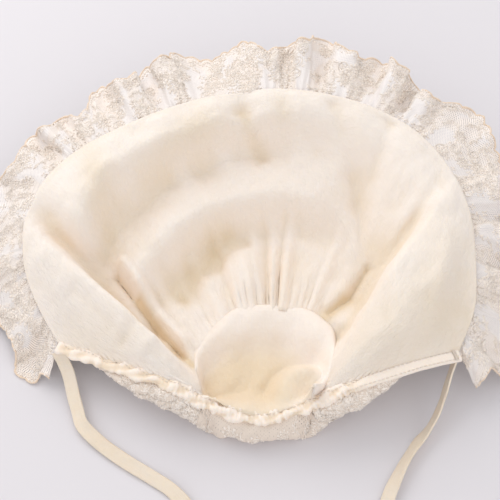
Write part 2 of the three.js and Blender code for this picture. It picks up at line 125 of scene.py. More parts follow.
# A row for each change in the crown's folds along the face edge. The At columns say how far each
# ring lies from the edge to the back seam, the next ones how high, and slack how far the lining
# stands off the shell
SECTION_COLUMNS = (
    *("along", "browAt", "valleyAt", "ridgeAt", "bowlAt"),
    *("brow", "valley", "ridge", "bowl", "slack"),
)
SECTION_ROWS = (
    (0, 0.14, 0.36, 0.58, 0.79, 0.37, 0.41, 0.48, 0.52, 0),
    (0.07, 0.12, 0.32, 0.55, 0.78, 0.53, 0.59, 0.62, 0.58, 0),
    (0.15, 0.1, 0.27, 0.5, 0.76, 0.73, 0.78, 0.76, 0.64, 0),
    (0.172, 0.12, 0.34, 0.5, 0.76, 0.64, 0.36, 0.16, 0.12, 0.02),
    (0.205, 0.2, 0.42, 0.61, 0.78, 0.84, 0.14, 0.28, 0.16, 0.14),
    (0.23, 0.18, 0.4, 0.575, 0.75, 0.89, 0.08, 0.38, 0.1, 0.26),
    (0.3, 0.145, 0.345, 0.515, 0.7, 0.92, 0.0, 0.47, 0.08, 0.36),
    (0.36, 0.13, 0.305, 0.48, 0.66, 0.93, 0.02, 0.5, 0.07, 0.37),
    (0.42, 0.125, 0.275, 0.455, 0.63, 0.95, 0.12, 0.5, 0.07, 0.3),
    (0.52, 0.11, 0.24, 0.425, 0.61, 0.98, 0.3, 0.48, 0.09, 0.2),
    (0.62, 0.1, 0.27, 0.425, 0.6, 0.96, 0.62, 0.42, 0.1, 0),
    (0.67, 0.09, 0.36, 0.47, 0.63, 0.96, 0.12, 0.3, 0.12, 0.26),
    (0.7, 0.1, 0.44, 0.56, 0.7, 0.96, 0.08, 0.22, 0.14, 0.28),
    (0.75, 0.1, 0.5, 0.63, 0.78, 0.93, 0.16, 0.24, 0.14, 0.18),
    (0.768, 0.1, 0.46, 0.6, 0.76, 0.88, 0.3, 0.3, 0.16, 0.06),
    (0.79, 0.1, 0.28, 0.5, 0.74, 0.97, 0.96, 0.92, 0.72, 0),
    (0.86, 0.1, 0.28, 0.5, 0.75, 0.88, 1.02, 1, 0.8, 0),
    (0.93, 0.12, 0.32, 0.54, 0.77, 0.7, 0.84, 0.88, 0.72, 0),
    (1, 0.14, 0.36, 0.58, 0.79, 0.58, 0.62, 0.62, 0.58, 0),
)
SECTIONS = dict(zip(SECTION_COLUMNS, zip(*SECTION_ROWS)))
RINGS = ("brow", "valley", "ridge", "bowl")
RING_SHARES = (0, 0.13, 0.36, 0.53, 0.75, 1)
# Single folds: their places on the rim and on the seam, where they start and end on the way
# between, their height, and their half widths before and after
FOLDS = (
    (0.46, 0.45, 0.7, 1.1, 0.08, 0.03, 0.02),
    (0.53, 0.55, 0.7, 1.1, 0.06, 0.03, 0.03),
    (0.485, 0.485, -0.1, 0.34, -0.08, 0.05, 0.035),
    (0.185, 0.18, -0.05, 0.34, -0.16, 0.03, 0.035),
)
# Folds that lie across the crown: their lines in millimetres, then height and half width
CREASES = (
    (((-10.0, 62.0), (-7.0, 50.0), (-5.0, 38.0)), 5.2, 8.5),
    (((-69.5, 52.0), (-61.5, 41.6), (-48.5, 24.8), (-32.5, 7.4)), 5.0, 2.8),
    (((-72.0, 46.0), (-64.5, 36.0), (-52.5, 20.6), (-37.5, 4.2)), -4.2, 2.3),
    (((-58.0, 52.0), (-49.0, 39.0), (-38.0, 26.0), (-28.0, 16.0)), 2.4, 4.0),
    (((48.0, 97.0), (50.4, 76.4), (51.4, 57.5)), -1.5, 5.0),
    (((53.5, 52.0), (44.0, 38.3), (33.0, 29.4)), -4.4, 3.0),
    (((62.0, 46.0), (52.0, 33.0), (40.0, 22.0)), 2.2, 3.4),
    (((-86.7, 60.0), (-84.6, 75.4), (-77.1, 93.4)), 2.6, 5.0),
    (((-90.0, 28.5), (-79.8, 18.8), (-71.4, 11.8)), -2.2, 5.0),
    (((82.8, 81.4), (72.1, 68.4), (65.9, 50.7), (59.5, 30.2), (46.5, 21.5)), 2.6, 5.0),
    (((-9.6, 127.0), (-5.0, 121.0), (1.0, 112.0)), -3.0, 5.0),
    (((36.0, 129.0), (42.5, 115.0), (46.3, 100.0)), -2.4, 5.5),
    (((65.9, 118.0), (61.9, 105.7), (57.0, 96.0)), -1.8, 4.5),
    (((-38.0, 38.0), (-32.0, 50.0), (-22.0, 60.0), (-8.0, 69.0)), -2.4, 4.5),
    (((-28.0, 132.0), (-22.0, 120.0), (-18.0, 108.0)), 1.8, 4.5),
    (((-52.0, 120.0), (-45.0, 108.0), (-38.0, 98.0)), 1.6, 5.0),
    (((16.0, 138.0), (19.0, 124.0), (20.0, 108.0)), 1.8, 4.5),
    (((-66.0, 4.0), (-58.0, 14.0), (-52.0, 20.0)), -1.6, 4.0),
    (((-58.0, -3.0), (-50.0, 6.0), (-46.0, 12.0)), 1.4, 3.6),
    (((60.0, 0.0), (58.0, 14.0), (54.0, 26.0)), -1.8, 5.0),
    (((76.0, 30.0), (84.0, 48.0), (88.0, 62.0)), -1.8, 7.0),
)
# Painted shade, tinted yellow, along the crown's dark valleys, creases and shaded cheeks: a line in
# millimetres, how much and the half width
PAINTED_SHADE_LINES = (
    (((11.7, 54.0), (9.0, 36.7)), 0.2, 15.0),
    (((-60.5, 33.0), (-44.4, 12.0), (-33.8, -1.0)), 1.0, 2.5),
    (((41.2, 35.8), (29.6, 24.5)), 0.9, 4.2),
    (((55.1, 62.2), (44.4, 37.1)), 0.35, 6.0),
    (((55.6, -0.5), (93.2, 10.1)), 0.3, 24.0),
    (((90.7, 47.2), (84.0, 16.7)), 0.16, 16.0),
    (((-87.9, 8.7), (-68.3, 2.3)), 0.2, 12.0),
    (((-41.9, 39.2), (-33.7, 54.1), (-18.7, 71.7)), 0.6, 8.0),
    (((-84.9, 100.6), (-82.9, 74.4), (-71.1, 53.0)), 0.3, 6.5),
    (((-58.6, 94.5), (-42.6, 111.3), (-29.7, 120.8)), 0.3, 7.0),
    (((9.6, 130.0), (11.4, 125.9)), 0.3, 5.0),
    (((-34.2, 115.5), (-11.3, 124.5)), 0.14, 7.0),
    (((-80.4, 90.2), (-72.9, 73.4), (-57.2, 59.7)), 0.18, 8.0),
)
# The soft hump of cloth beside the back panel's right end
LOBE = {"across": 0.29, "back": -0.245, "radius": 0.3, "height": 0.3}
# How far the ruffle droops, and how far it sweeps along the edge, in radians and as a slope
RUFFLE_LEAN = {
    "along": (0, 0.05, 0.15, 0.25, 0.4, 0.55, 0.7, 0.85, 0.95, 1),
    "droop": (0.75, 0.7, 0.6, 0.35, 0.05, -0.05, 0.1, 0.45, 0.6, 0.65),
    "sweep": (-0.75, -0.2, 0, 0, 0, 0, 0, 0, 0.1, 0.7),
}
# Each tie's route in millimetres, with the turn of its flat side in degrees
LEFT_TIE = (
    (-98.2, 3.4, 16.0, 35),
    (-96.4, 0.6, 13.4, 35),
    (-93.5, -5.5, 9.0, 30),
    (-91.2, -14.0, 6.0, 22),
    (-88.6, -22.0, 4.4, 25),
    (-86.4, -28.5, 3.6, 20),
    (-81.5, -34.0, 2.6, 10),
    (-73.5, -40.5, 1.6, 0),
    (-62.5, -48.0, 1.2, 0),
    (-52.0, -54.5, 1.4, 5),
    (-42.5, -61.0, 1.8, 15),
    (-35.0, -69.0, 1.6, 10),
    (-30.0, -78.0, 1.2, 0),
    (-27.0, -88.0, 1.0, 0),
)
RIGHT_TIE = (
    (91.6, -1.6, 24.0, 75),
    (90.6, -5.4, 21.5, 75),
    (88.2, -11.5, 17.0, 75),
    (85.6, -19.0, 11.5, 70),
    (82.6, -26.0, 7.4, 65),
    (78.6, -32.0, 5.0, 60),
    (73.0, -38.5, 4.2, 45),
    (68.0, -45.5, 3.8, 50),
    (63.0, -54.5, 3.4, 40),
    (59.0, -62.5, 2.6, 25),
    (56.0, -71.0, 1.8, 10),
    (54.5, -80.0, 1.2, 0),
    (54.0, -89.0, 1.0, 0),
)
# Each tie's route, and its length in metres
TIES = {"tie_left": (LEFT_TIE, 0.124), "tie_right": (RIGHT_TIE, 0.102)}


# Curves and noise


def eased(xs, ys, x):
    """A smooth curve through the points that doesn't overshoot them, read at x. ys may hold one
    row of values for each row of x."""
    xs = np.asarray(xs, float)
    ys = np.asarray(ys, float)
    x = np.clip(np.asarray(x, float), xs[0], xs[-1])
    slope = np.diff(ys, axis=-1) / np.diff(xs)
    before, after = slope[..., :-1], slope[..., 1:]
    steepest = 3 * np.minimum(abs(before), abs(after))
    inner = np.sign(before) * np.minimum(abs(before + after) / 2, steepest)
    inner = np.where(before * after > 0, inner, 0)
    tangent = np.concatenate([slope[..., :1], inner, slope[..., -1:]], axis=-1)
    i = np.clip(np.searchsorted(xs, x, side="right") - 1, 0, len(xs) - 2)
    width = xs[i + 1] - xs[i]
    t = (x - xs[i]) / width
    rise = t * t * (3 - 2 * t)
    low, high = np.take(ys, i, axis=-1), np.take(ys, i + 1, axis=-1)
    start, end = np.take(tangent, i, axis=-1), np.take(tangent, i + 1, axis=-1)
    return low * (1 - rise) + high * rise + width * t * (1 - t) * ((1 - t) * start - t * end)


def spline(knots, values, at):
    """A Catmull-Rom curve on its own knots."""
    tangent = np.gradient(values, knots)
    i = np.clip(np.searchsorted(knots, at, side="right") - 1, 0, len(knots) - 2)
    width = knots[i + 1] - knots[i]
    t = (at - knots[i]) / width
    rise = t * t * (3 - 2 * t)
    return (
        values[i] * (1 - rise)
        + values[i + 1] * rise
        + width * t * (1 - t) * ((1 - t) * tangent[i] - t * tangent[i + 1])
    )


def ramp(low, high, x):
    """An eased step, 0 at low and 1 at high."""
    t = np.clip((np.asarray(x, float) - low) / (high - low), 0, 1)
    return t * t * (3 - 2 * t)


FINE_CUTS = 1200
FINE = np.linspace(0, 1, FINE_CUTS + 1)


def softened(table, name, spread=0.004):
    """A table's column, evened out over a short stretch of the face edge."""
    column = eased(table["along"], table[name], FINE)
    reach = int(4 * spread * FINE_CUTS)
    weights = np.exp(-0.5 * (np.arange(-reach, reach + 1) / (spread * FINE_CUTS)) ** 2)
    before = 2 * column[0] - column[reach:0:-1]
    after = 2 * column[-1] - column[-2 : -reach - 2 : -1]
    padded = np.concatenate([before, column, after])
    return np.convolve(padded, weights / weights.sum(), "valid")


COLUMNS = {
    **{("face", name): softened(FACE_EDGE, name, 0.012) for name in ("across", "back", "lift")},
    **{("seam", name): softened(BACK_SEAM, name) for name in ("across", "back", "lift")},
    **{("crown", name): softened(SECTIONS, name) for name in SECTIONS if name != "along"},
    **{("ruffle", name): softened(RUFFLE_LEAN, name, 0.01) for name in ("droop", "sweep")},
}


def read(table, name, along):
    """A column's value at shares of the face edge."""
    return np.interp(along, FINE, COLUMNS[table, name])


def ripples(x, y, wavelength, seed, stretch=1.0, bearing=0.0):
    """Even noise from crossing waves, about -1 to 1. It is stretched along the bearing."""
    random = np.random.default_rng(seed)
    x, y = (
        (x * math.cos(bearing) + y * math.sin(bearing)) / stretch,
        -x * math.sin(bearing) + y * math.cos(bearing),
    )
    total = np.zeros(np.broadcast(x, y).shape)
    bend_x = 0.25 * wavelength * np.sin(y / wavelength * 1.7 + random.uniform(0, 6))
    bend_y = 0.25 * wavelength * np.sin(x / wavelength * 1.3 + random.uniform(0, 6))
    for _ in range(9):
        angle = random.uniform(0, math.pi)
        length = wavelength * random.uniform(0.7, 1.5)
        phase = random.uniform(0, 2 * math.pi)
        across = (x + bend_x) * math.cos(angle) + (y + bend_y) * math.sin(angle)
        total = total + np.sin(2 * math.pi * across / length + phase)
    return total / 4.0


# The bonnet's surfaces, all in millimetres


def face_edge(u):
    """A point of the face edge for each share u of its way."""
    return np.stack(
        [
            CORNER_SHIFT + read("face", "across", u) * FACE_WIDTH / 2,
            read("face", "back", u) * FACE_DEPTH,
            read("face", "lift", u) * FACE_LIFT,
        ],
        axis=-1,
    )


def back_seam(u):
    """The point of the back seam that the same share of the face edge runs to."""
    return np.stack(
        [
            read("seam", "across", u) * BACK_WIDTH / 2,
            read("seam", "back", u) * BACK_DEPTH,
            read("seam", "lift", u) * FACE_LIFT,
        ],
        axis=-1,
    )


NECK_STOPS = np.array(
    [face_edge(0.0), back_seam(0.0), (0, -NECK_DEPTH, NECK_LIFT), back_seam(1.0), face_edge(1.0)]
)


def neck_back(x):
    """How far back the neck edge lies, as one curve through its stops."""
    return eased(NECK_STOPS[:, 0], NECK_STOPS[:, 1], x)


def edge_back(x):
    """Where the cloth ends: straight beside the back panel, and curved along it."""
    straight = np.interp(x, NECK_STOPS[:, 0], NECK_STOPS[:, 1])
    return np.where((x > NECK_STOPS[1, 0]) & (x < NECK_STOPS[3, 0]), neck_back(x), straight)


def rested(z):
    """Heights, eased onto the table where they would go below it."""
    over = z - TABLE
    return np.where(over > SETTLE, z, TABLE + np.maximum(0, over + SETTLE) ** 2 / (4 * SETTLE))


def unit(vectors):
    """The vectors' directions."""
    return vectors / np.maximum(np.linalg.norm(vectors, axis=-1, keepdims=True), 1e-9)


def crown(u, v, sizes, detail=1.0, slack=0.0):
    """The crown's middle surface. u runs along the face edge, v from it to the back seam. The
    slack lets the lining stand off the shell in the outer valley."""
    u, v = np.atleast_1d(u), np.atleast_1d(v)
    rim, seam = face_edge(u), back_seam(u)
    nil = np.zeros_like(u)
    reaches = np.stack([nil, *(read("crown", f"{ring}At", u) for ring in RINGS), nil + 1], axis=-1)
    heights = (read("crown", ring, u) * FACE_LIFT for ring in RINGS)
    lifts = np.stack([rim[:, 2], *heights, seam[:, 2]], axis=-1)
    lifts[:, 2] += slack * read("crown", "slack", u) * FACE_LIFT
    reach = eased(RING_SHARES, reaches, v)
    points = rim[:, None, :] + (seam - rim)[:, None, :] * reach[..., None]
    height = eased(RING_SHARES, lifts, v)
    height = height + folds(u[:, None], v[None, :])
    height = height + gathers(u[:, None], v[None, :], sizes)
    x, y = points[..., 0], points[..., 1]
    if detail:
        height = height + creases(x, y) * (ramp(0, 0.05, v) * (1 - ramp(0.9, 1, v)))[None, :]
    calm = ramp(0, 0.06, v)[None, :] * (1 - ramp(0.93, 1, v))[None, :]
    height = height + detail * sizes.wrinkle * calm * (
        0.7 * ripples(x, y, 34, 3) + 0.6 * ripples(x, y, 17, 5) + 0.24 * ripples(x, y, 8.5, 7)
    )
    points[..., 2] = rested(height)
    return points


def line_distance(x, y, line):
    """How far each point of the plan lies from a line of points."""
    line = np.array(line)
    near = np.full_like(x, 1e9)
    for k, (start, end) in enumerate(zip(line, line[1:])):
        way = end - start
        share = ((x - start[0]) * way[0] + (y - start[1]) * way[1]) / (way @ way)
        held = np.clip(share, 0, 1)
        gap = np.hypot(x - start[0] - held * way[0], y - start[1] - held * way[1])
        past = (abs(share - held) * np.linalg.norm(way)) if k in (0, len(line) - 2) else 0
        near = np.minimum(near, np.hypot(gap, 0.6 * past))
    return near


def creases(x, y):
    """The height that the fold lines add at each point of the plan."""
    total = np.zeros_like(x)
    for line, lift, width in CREASES:
        total = total + lift * np.exp(-((line_distance(x, y, line) / width) ** 2))
    return total


def folds(u, v):
    """The height that the single folds add."""
    height = 0
    for rim_at, seam_at, start, end, lift, before, after in FOLDS:
        centre = rim_at + (seam_at - rim_at) * v
        away = (u - centre) * (FACE_WIDTH * 2 * (1 - v) + BACK_WIDTH * 2.2 * v)
        width = FACE_WIDTH * np.where(away < 0, before, after)
        middle = (start + end) / 2
        fade = ramp(start, middle, v)
        if end <= 1:
            fade = fade * (1 - ramp(middle, end, v))
        height = height + lift * FACE_LIFT * fade * np.exp(-((away / width) ** 2))
    return height


def gathers(u, v, sizes):
    """The creases drawn into the back panel's seam: many and fine there, fewer further up."""
    share = np.clip((u - GATHERS_FROM) / GATHERS_SPAN, 0, 1)
    ends = ramp(0, 0.06, share) * (1 - ramp(0.94, 1, share))
    ends = ends * (0.4 + 0.75 * np.exp(-(((share - 0.52) / 0.2) ** 2)))
    uneven = 1.6 * np.sin(3 * math.pi * share) + 0.9 * np.sin(9 * math.pi * share + 1)
    turn = 2 * math.pi * sizes.gathers * share + uneven
    reach = 0.56 + 0.13 * np.sin(turn * 0.5 + 1.0) + 0.06 * np.sin(turn * 0.27)
    long = ramp(reach, reach + 0.34, v) * (0.7 + 0.45 * np.sin(turn * 0.31 + 2))
    fine = ramp(0.84, 1.0, v) * 0.35 * np.sin(2.37 * turn + 0.6)
    crease = 0.35 - abs(np.sin(turn / 2)) ** 0.95 + 0.3 * np.cos(turn)
    return ends * sizes.gather_height * (1.25 * long * crease + fine) * (1 - 0.6 * ramp(0.95, 1, v))


def puffed(points):
    """The shell's points, puffed out and down under the neck edge."""
    inside = np.maximum(0, points[..., 1] - edge_back(points[..., 0]))
    reach = abs(NECK_STOPS[0, 0])
    side = 1 - ramp(BULGE_FROM * reach, BULGE_TO * reach, abs(points[..., 0] - BULGE_SHIFT))
    share = np.clip(inside / BULGE_SPAN, 0, 1)
    turn = math.pi * np.minimum(1, (share / 0.55) ** 0.6)
    under = (1 - np.cos(turn)) / 2
    away = 1 - ramp(0.55, 1, share)
    tuck = BULGE_DROP * np.minimum(1, 10 * side) * (1 - ramp(0, 0.6, share))
    out = points.copy()
    out[..., 1] -= side * BULGE_REACH * np.sin(turn)
    drop = (TABLE - points[..., 2]) * side * under * away
    out[..., 2] = np.maximum(TABLE, points[..., 2] - tuck + drop)
    return out


def arc_lengths(points):
    """How far along each row of points lies, from 0 at the first."""
    steps = np.linalg.norm(np.diff(points, axis=-2), axis=-1)
    return np.concatenate([np.zeros(steps.shape[:-1] + (1,)), np.cumsum(steps, axis=-1)], axis=-1)


def along_line(line, shares):
    """Points at even shares of a line's length."""
    lengths = arc_lengths(line)
    where = np.asarray(shares) * lengths[-1]
    return np.stack([np.interp(where, lengths, line[:, k]) for k in range(3)], axis=-1)


def neck_line(count=200):
    """The neck edge between the two ends of the back seam."""
    s = np.linspace(0, 1, count)
    left, middle, right = NECK_STOPS[1:4]
    x = left[0] + (right[0] - left[0]) * s
    return np.stack([x, neck_back(x), eased((0, 0.5, 1), (left[2], middle[2], right[2]), s)], axis=-1)


# The back panel's two corners are cut off by this share, so that they aren't points
PANEL_BLUNT = 0.004


def back_panel(s, t, lobe):
    """The back panel's middle surface. s runs across it, t from its seam to the neck edge."""
    shares = PANEL_BLUNT + (1 - 2 * PANEL_BLUNT) * s
    seam = along_line(back_seam(np.linspace(0, 1, 400)), shares)
    neck = along_line(neck_line(), shares)
    span = np.linalg.norm(neck - seam, axis=-1)[:, None]
    points = seam[:, None, :] + (neck - seam)[:, None, :] * t[None, :, None]
    sag = ramp(0, 0.32, t) * (1 - ramp(0.68, 1, t)) * ramp(0, BACK_DEPTH, span)
    across = (points[..., 0] - LOBE["across"] * BACK_WIDTH) / (LOBE["radius"] * BACK_WIDTH)
    back = (points[..., 1] - LOBE["back"] * BACK_WIDTH) / (LOBE["radius"] * BACK_WIDTH)
    hump = lobe * FACE_LIFT * ramp(-1, -0.45, -np.hypot(across, back))
    hump = hump * (1 - ramp(0.7, 1, t)) * ramp(0.02, 0.3, t)
    height = points[..., 2] + (TABLE - points[..., 2]) * sag + hump
    points[..., 2] = np.maximum(TABLE, height)
    return points


def grid_normals(grid):
    """The upward normals of a grid whose rows run along u and columns along v."""
    along_u = np.gradient(grid, axis=0)
    along_v = np.gradient(grid, axis=1)
    return unit(np.cross(along_v, along_u))


# Meshes


def mesh_object(name, points, faces, material, uv=None, marks=None):
    """A smooth object from points in millimetres and lists of faces, each list with faces of one
    size, with its UVs in millimetres and any named masks on its points."""
    mesh = bpy.data.meshes.new(name)
    faces = [np.asarray(part, dtype=np.int32) for part in faces]
    corners = np.concatenate([part.ravel() for part in faces])
    counts = np.concatenate([np.full(len(part), part.shape[1]) for part in faces])
    mesh.vertices.add(len(points))
    mesh.vertices.foreach_set("co", (np.asarray(points) * MM).astype(np.float32).ravel())
    mesh.loops.add(len(corners))
    mesh.loops.foreach_set("vertex_index", corners)
    mesh.polygons.add(len(counts))
    starts = np.concatenate([[0], np.cumsum(counts)[:-1]])
    mesh.polygons.foreach_set("loop_start", starts.astype(np.int32))
    mesh.polygons.foreach_set("use_smooth", np.ones(len(counts), dtype=bool))
    mesh.update(calc_edges=True)
    if uv is not None:
        layer = mesh.uv_layers.new(name="Cloth")
        layer.data.foreach_set("uv", np.asarray(uv, dtype=np.float32)[corners].ravel())
    for mark, values in (marks or {}).items():
        attribute = mesh.attributes.new(mark, "FLOAT", "POINT")
        attribute.data.foreach_set("value", np.asarray(values, dtype=np.float32).ravel())
    mesh.materials.append(material)
    mesh.validate()
    piece = bpy.data.objects.new(name, mesh)
    bpy.context.scene.collection.objects.link(piece)
    return piece


def grid_faces(rows, columns):
    """The faces of a grid of points."""
    i, j = np.meshgrid(np.arange(rows - 1), np.arange(columns - 1), indexing="ij")
    a = (i * columns + j).ravel()
    b = a + columns
    return np.stack([a, a + 1, b + 1, b], axis=-1)


def lens_faces(count):
    """The faces of closed lenses, each a ring of eight points, its top and its bottom."""
    k = np.arange(8)
    base = (np.arange(count) * 10)[:, None]
    over = np.stack([base + k, base + (k + 1) % 8, base + 8 + 0 * k], axis=-1)
    under = np.stack([base + (k + 1) % 8, base + k, base + 9 + 0 * k], axis=-1)
    return [over.reshape(-1, 3), under.reshape(-1, 3)]


def wall_object(name, over, under, material, uv, marks=None):
    """A cloth wall between two grids, closed all round."""
    rows, columns = over.shape[:2]
    count = rows * columns
    sheet = grid_faces(rows, columns)
    edge = np.concatenate(
        [
            np.arange(columns - 1),
            np.arange(rows - 1) * columns + columns - 1,
            (rows - 1) * columns + np.arange(columns - 1, 0, -1),
            np.arange(rows - 1, 0, -1) * columns,
        ]
    )
    turned = np.roll(edge, -1)
    rim = np.stack([edge, turned, turned + count, edge + count], axis=-1)[:, ::-1]
    faces = [sheet, sheet[:, ::-1] + count, rim]
    points = np.concatenate([over.reshape(-1, 3), under.reshape(-1, 3)])
    uvs = np.concatenate([uv.reshape(-1, 2), uv.reshape(-1, 2)])
    doubled = {mark: np.tile(values.ravel(), 2) for mark, values in (marks or {}).items()}
    return mesh_object(name, points, faces, material, uvs, doubled)


def tube_object(name, centres, rings, material, girth=2.0, marks=None):
    """A tube through rings of points, one ring at each centre, with both ends closed."""
    stations, sides = rings.shape[:2]
    i, k = np.meshgrid(np.arange(stations - 1), np.arange(sides), indexing="ij")
    a = (i * sides + k).ravel()
    b = (i * sides + (k + 1) % sides).ravel()
    walls = np.stack([a, b, b + sides, a + sides], axis=-1)
    first = stations * sides
    k = np.arange(sides)
    turned = (k + 1) % sides
    last = (stations - 1) * sides
    near = np.stack([turned, k, np.full(sides, first)], axis=-1)
    far = np.stack([k + last, turned + last, np.full(sides, first + 1)], axis=-1)
    points = np.concatenate([rings.reshape(-1, 3), centres[:1], centres[-1:]])
    run = arc_lengths(centres)
    around = abs(np.arange(sides) / sides - 0.5) * girth
    uv = np.stack(np.broadcast_arrays(run[:, None], around[None, :]), axis=-1).reshape(-1, 2)
    uv = np.concatenate([uv, [[run[0], 0], [run[-1], 0]]])
    marks = {name: np.concatenate([values.ravel(), [0, 0]]) for name, values in (marks or {}).items()}
    return mesh_object(name, points, [walls, near, far], material, uv, marks)


class Cloth:
    """A fine grid of points that other pieces are laid on, read by shares of its two ways."""

    def __init__(self, grid, up=None):
        self.grid = grid
        self.up = grid_normals(grid) if up is None else up
        self.run = np.linalg.norm(np.gradient(grid, axis=0), axis=-1) * (grid.shape[0] - 1)
        self.depth = np.linalg.norm(np.gradient(grid, axis=1), axis=-1) * (grid.shape[1] - 1)

    def at(self, table, u, v):
        """A table of the grid's values, read between its points."""
        rows, columns = self.grid.shape[:2]
        a = np.clip(u, 0, 1) * (rows - 1)
        b = np.clip(v, 0, 1) * (columns - 1)
        i = np.minimum(a.astype(int), rows - 2)
        j = np.minimum(b.astype(int), columns - 2)
        a, b = a - i, b - j
        if table.ndim == 3:
            a, b = a[..., None], b[..., None]
        low = table[i, j] * (1 - a) + table[i + 1, j] * a
        high = table[i, j + 1] * (1 - a) + table[i + 1, j + 1] * a
        return low * (1 - b) + high * b


# Embroidery. A petal is x, y, bearing, half its length and half its width, in millimetres from
# the middle of its motif


def ring_of_petals(count, radius, long, wide, start=0.0, lean=0.0):
    """Petals set evenly round the middle."""
    turns = start + np.arange(count) * 2 * math.pi / count
    return [(radius * math.cos(a), radius * math.sin(a), a + lean, long, wide) for a in turns]


def curl(start, end, first, turns, steps=22):
    """A line that curls inwards."""
    share = np.linspace(0, 1, steps)
    radius = start + (end - start) * share
    angle = first + 2 * math.pi * turns * share
    return np.stack([radius * np.cos(angle), radius * np.sin(angle)], axis=-1)


def leaf_spray(length, leaves, bend):
    """A bent stem with leaves on both sides."""
    share = np.linspace(0, 1, 16)
    stem = np.stack([length * (share - 0.5), bend * np.sin(math.pi * share) - bend / 2], axis=-1)
    petals = []
    for k in range(leaves):
        at = (k + 0.7) / (leaves + 0.4)
        x, y = length * (at - 0.5), bend * math.sin(math.pi * at) - bend / 2
        side = 1 if k % 2 else -1
        lean = 0.9 * side + bend / length * 3 * math.cos(math.pi * at)
        petals.append((x + 0.95 * math.cos(lean), y + 0.95 * math.sin(lean), lean, 1.25, 0.62))
    petals.append((length / 2 + 0.6, -bend / 2, 0.0, 1.2, 0.65))
    return petals, [stem]


MOTIFS = (
    (
        [
            (0, 0, 0, 0.7, 0.7),
            *ring_of_petals(6, 1.75, 1.0, 0.72),
            *ring_of_petals(9, 3.55, 1.15, 0.95, 0.2),
        ],
        [curl(2.55, 2.55, 0, 1.0, 16)],
    ),
    ([(0, 0, 0, 0.6, 0.6), *ring_of_petals(5, 1.7, 1.2, 0.85)], [curl(3.1, 3.1, 0, 1.0, 18)]),
    (ring_of_petals(8, 4.0, 0.95, 0.7, 0.3, 1.2), [curl(3.2, 0.6, 0.0, 1.9, 34)]),
    leaf_spray(8.5, 6, 2.2),
    leaf_spray(6.5, 4, -1.8),
    (ring_of_petals(4, 1.1, 0.8, 0.55), []),
)
LARGE_MOTIFS = (0, 1, 2, 3, 4)
SMALL_MOTIF = 5


def scattered(width, depth, pitch, density, seed, margin=1.0):
    """Motifs in uneven rows: x, y, turn, size and which one. Where the density is low, only a few
    small ones are left."""
    random = np.random.default_rng(seed)
    placed_motifs = []
    rows = max(1, round(depth / (pitch * 0.9)))
    for row in range(rows):
        count = round(width / pitch)
        for k in range(count):
            x = (k + 0.5 * (row % 2) + random.uniform(-0.2, 0.2)) * width / count
            y = (row + 0.5 + random.uniform(-0.14, 0.14)) * depth / rows
            turn, size = random.uniform(0, 2 * math.pi), random.uniform(0.85, 1.12)
            kind = LARGE_MOTIFS[random.integers(len(LARGE_MOTIFS))]
            sparse = random.uniform()
            if not (margin < x < width - margin and margin < y < depth - margin):
                continue
            if density(x, y) < 0.4:
                if sparse > 0.45:
                    continue
                kind = SMALL_MOTIF
            placed_motifs.append((x, y, turn, size, kind))
    return placed_motifs


def embroidery_object(name, cloth, motifs, size, material, height=0.65):
    """Raised satin-stitch petals and stems, laid on both sides of a cloth of the given width and
    depth in millimetres."""
    width, depth = size
    petals, owners, stems = [], [], []
    for x, y, turn, scale, kind in motifs:
        c, s = math.cos(turn), math.sin(turn)
        spin = scale * np.array([[c, s], [-s, c]])
        middle = (x / width, y / depth)
        motif_petals, motif_stems = MOTIFS[kind]
        for px, py, bearing, long, wide in motif_petals:
            across, along = (px, py) @ spin
            petals.append((across, along, bearing + turn, scale * long, scale * wide))
            owners.append(middle)
        stems += [(line @ spin, middle) for line in motif_stems]
    return stitched_object(name, cloth, np.array(petals), np.array(owners), stems, material, height)


def petal_lenses(cloth, petals, owners, height):
    """Ten points for each petal, on the cloth round its motif's middle, and their UVs."""
    run = cloth.at(cloth.run, owners[:, 0], owners[:, 1])[:, None]
    depth = cloth.at(cloth.depth, owners[:, 0], owners[:, 1])[:, None]
    dx, dy, bearing, long, wide = (column[:, None] for column in petals.T)
    turn = (np.arange(9) * math.pi / 4)[None, :]
    a = long * np.cos(turn)
    b = wide * np.sin(turn) * (1 - 0.3 * np.cos(turn) ** 2)
    a[:, 8] = b[:, 8] = 0
    u = owners[:, :1] + (dx + a * np.cos(bearing) - b * np.sin(bearing)) / run
    v = owners[:, 1:] + (dy + a * np.sin(bearing) + b * np.cos(bearing)) / depth
    spots = cloth.at(cloth.grid, u, v)
    lift = unit(cloth.at(cloth.up, u, v))[:, 8] * height
    top, bottom = spots[:, 8] + lift, spots[:, 8] - lift
    points = np.concatenate([spots[:, :8], top[:, None], bottom[:, None]], axis=1)
    shift = np.arange(len(petals))[:, None] * 1.37
    uv = np.stack([a + shift, b + 0 * shift], axis=-1)
    uv = np.concatenate([uv, uv[:, 8:]], axis=1)
    return points.reshape(-1, 3), uv.reshape(-1, 2)


def stem_rows(cloth, line, middle, height, half=0.34):
    """Four points for each place on a stem, on the cloth and raised from both its sides."""
    place = [np.array(share) for share in middle]
    run, depth = (float(cloth.at(table, *place)) for table in (cloth.run, cloth.depth))
    way = unit(np.gradient(line, axis=0))
    side = np.stack([-way[:, 1], way[:, 0]], axis=-1) * half
    rows = np.stack([line - side, line, line + side, line], axis=1)
    u = middle[0] + rows[..., 0] / run
    v = middle[1] + rows[..., 1] / depth
    spots = cloth.at(cloth.grid, u, v)
    lift = unit(cloth.at(cloth.up, u[:, 1], v[:, 1])) * 0.8 * height
    spots[:, 1] += lift
    spots[:, 3] -= lift
    across = np.array([-0.3, 0, 0.3, 0])
    uv = np.stack(np.broadcast_arrays(arc_lengths(line)[:, None], across[None, :]), axis=-1)
    return spots.reshape(-1, 3), uv.reshape(-1, 2)


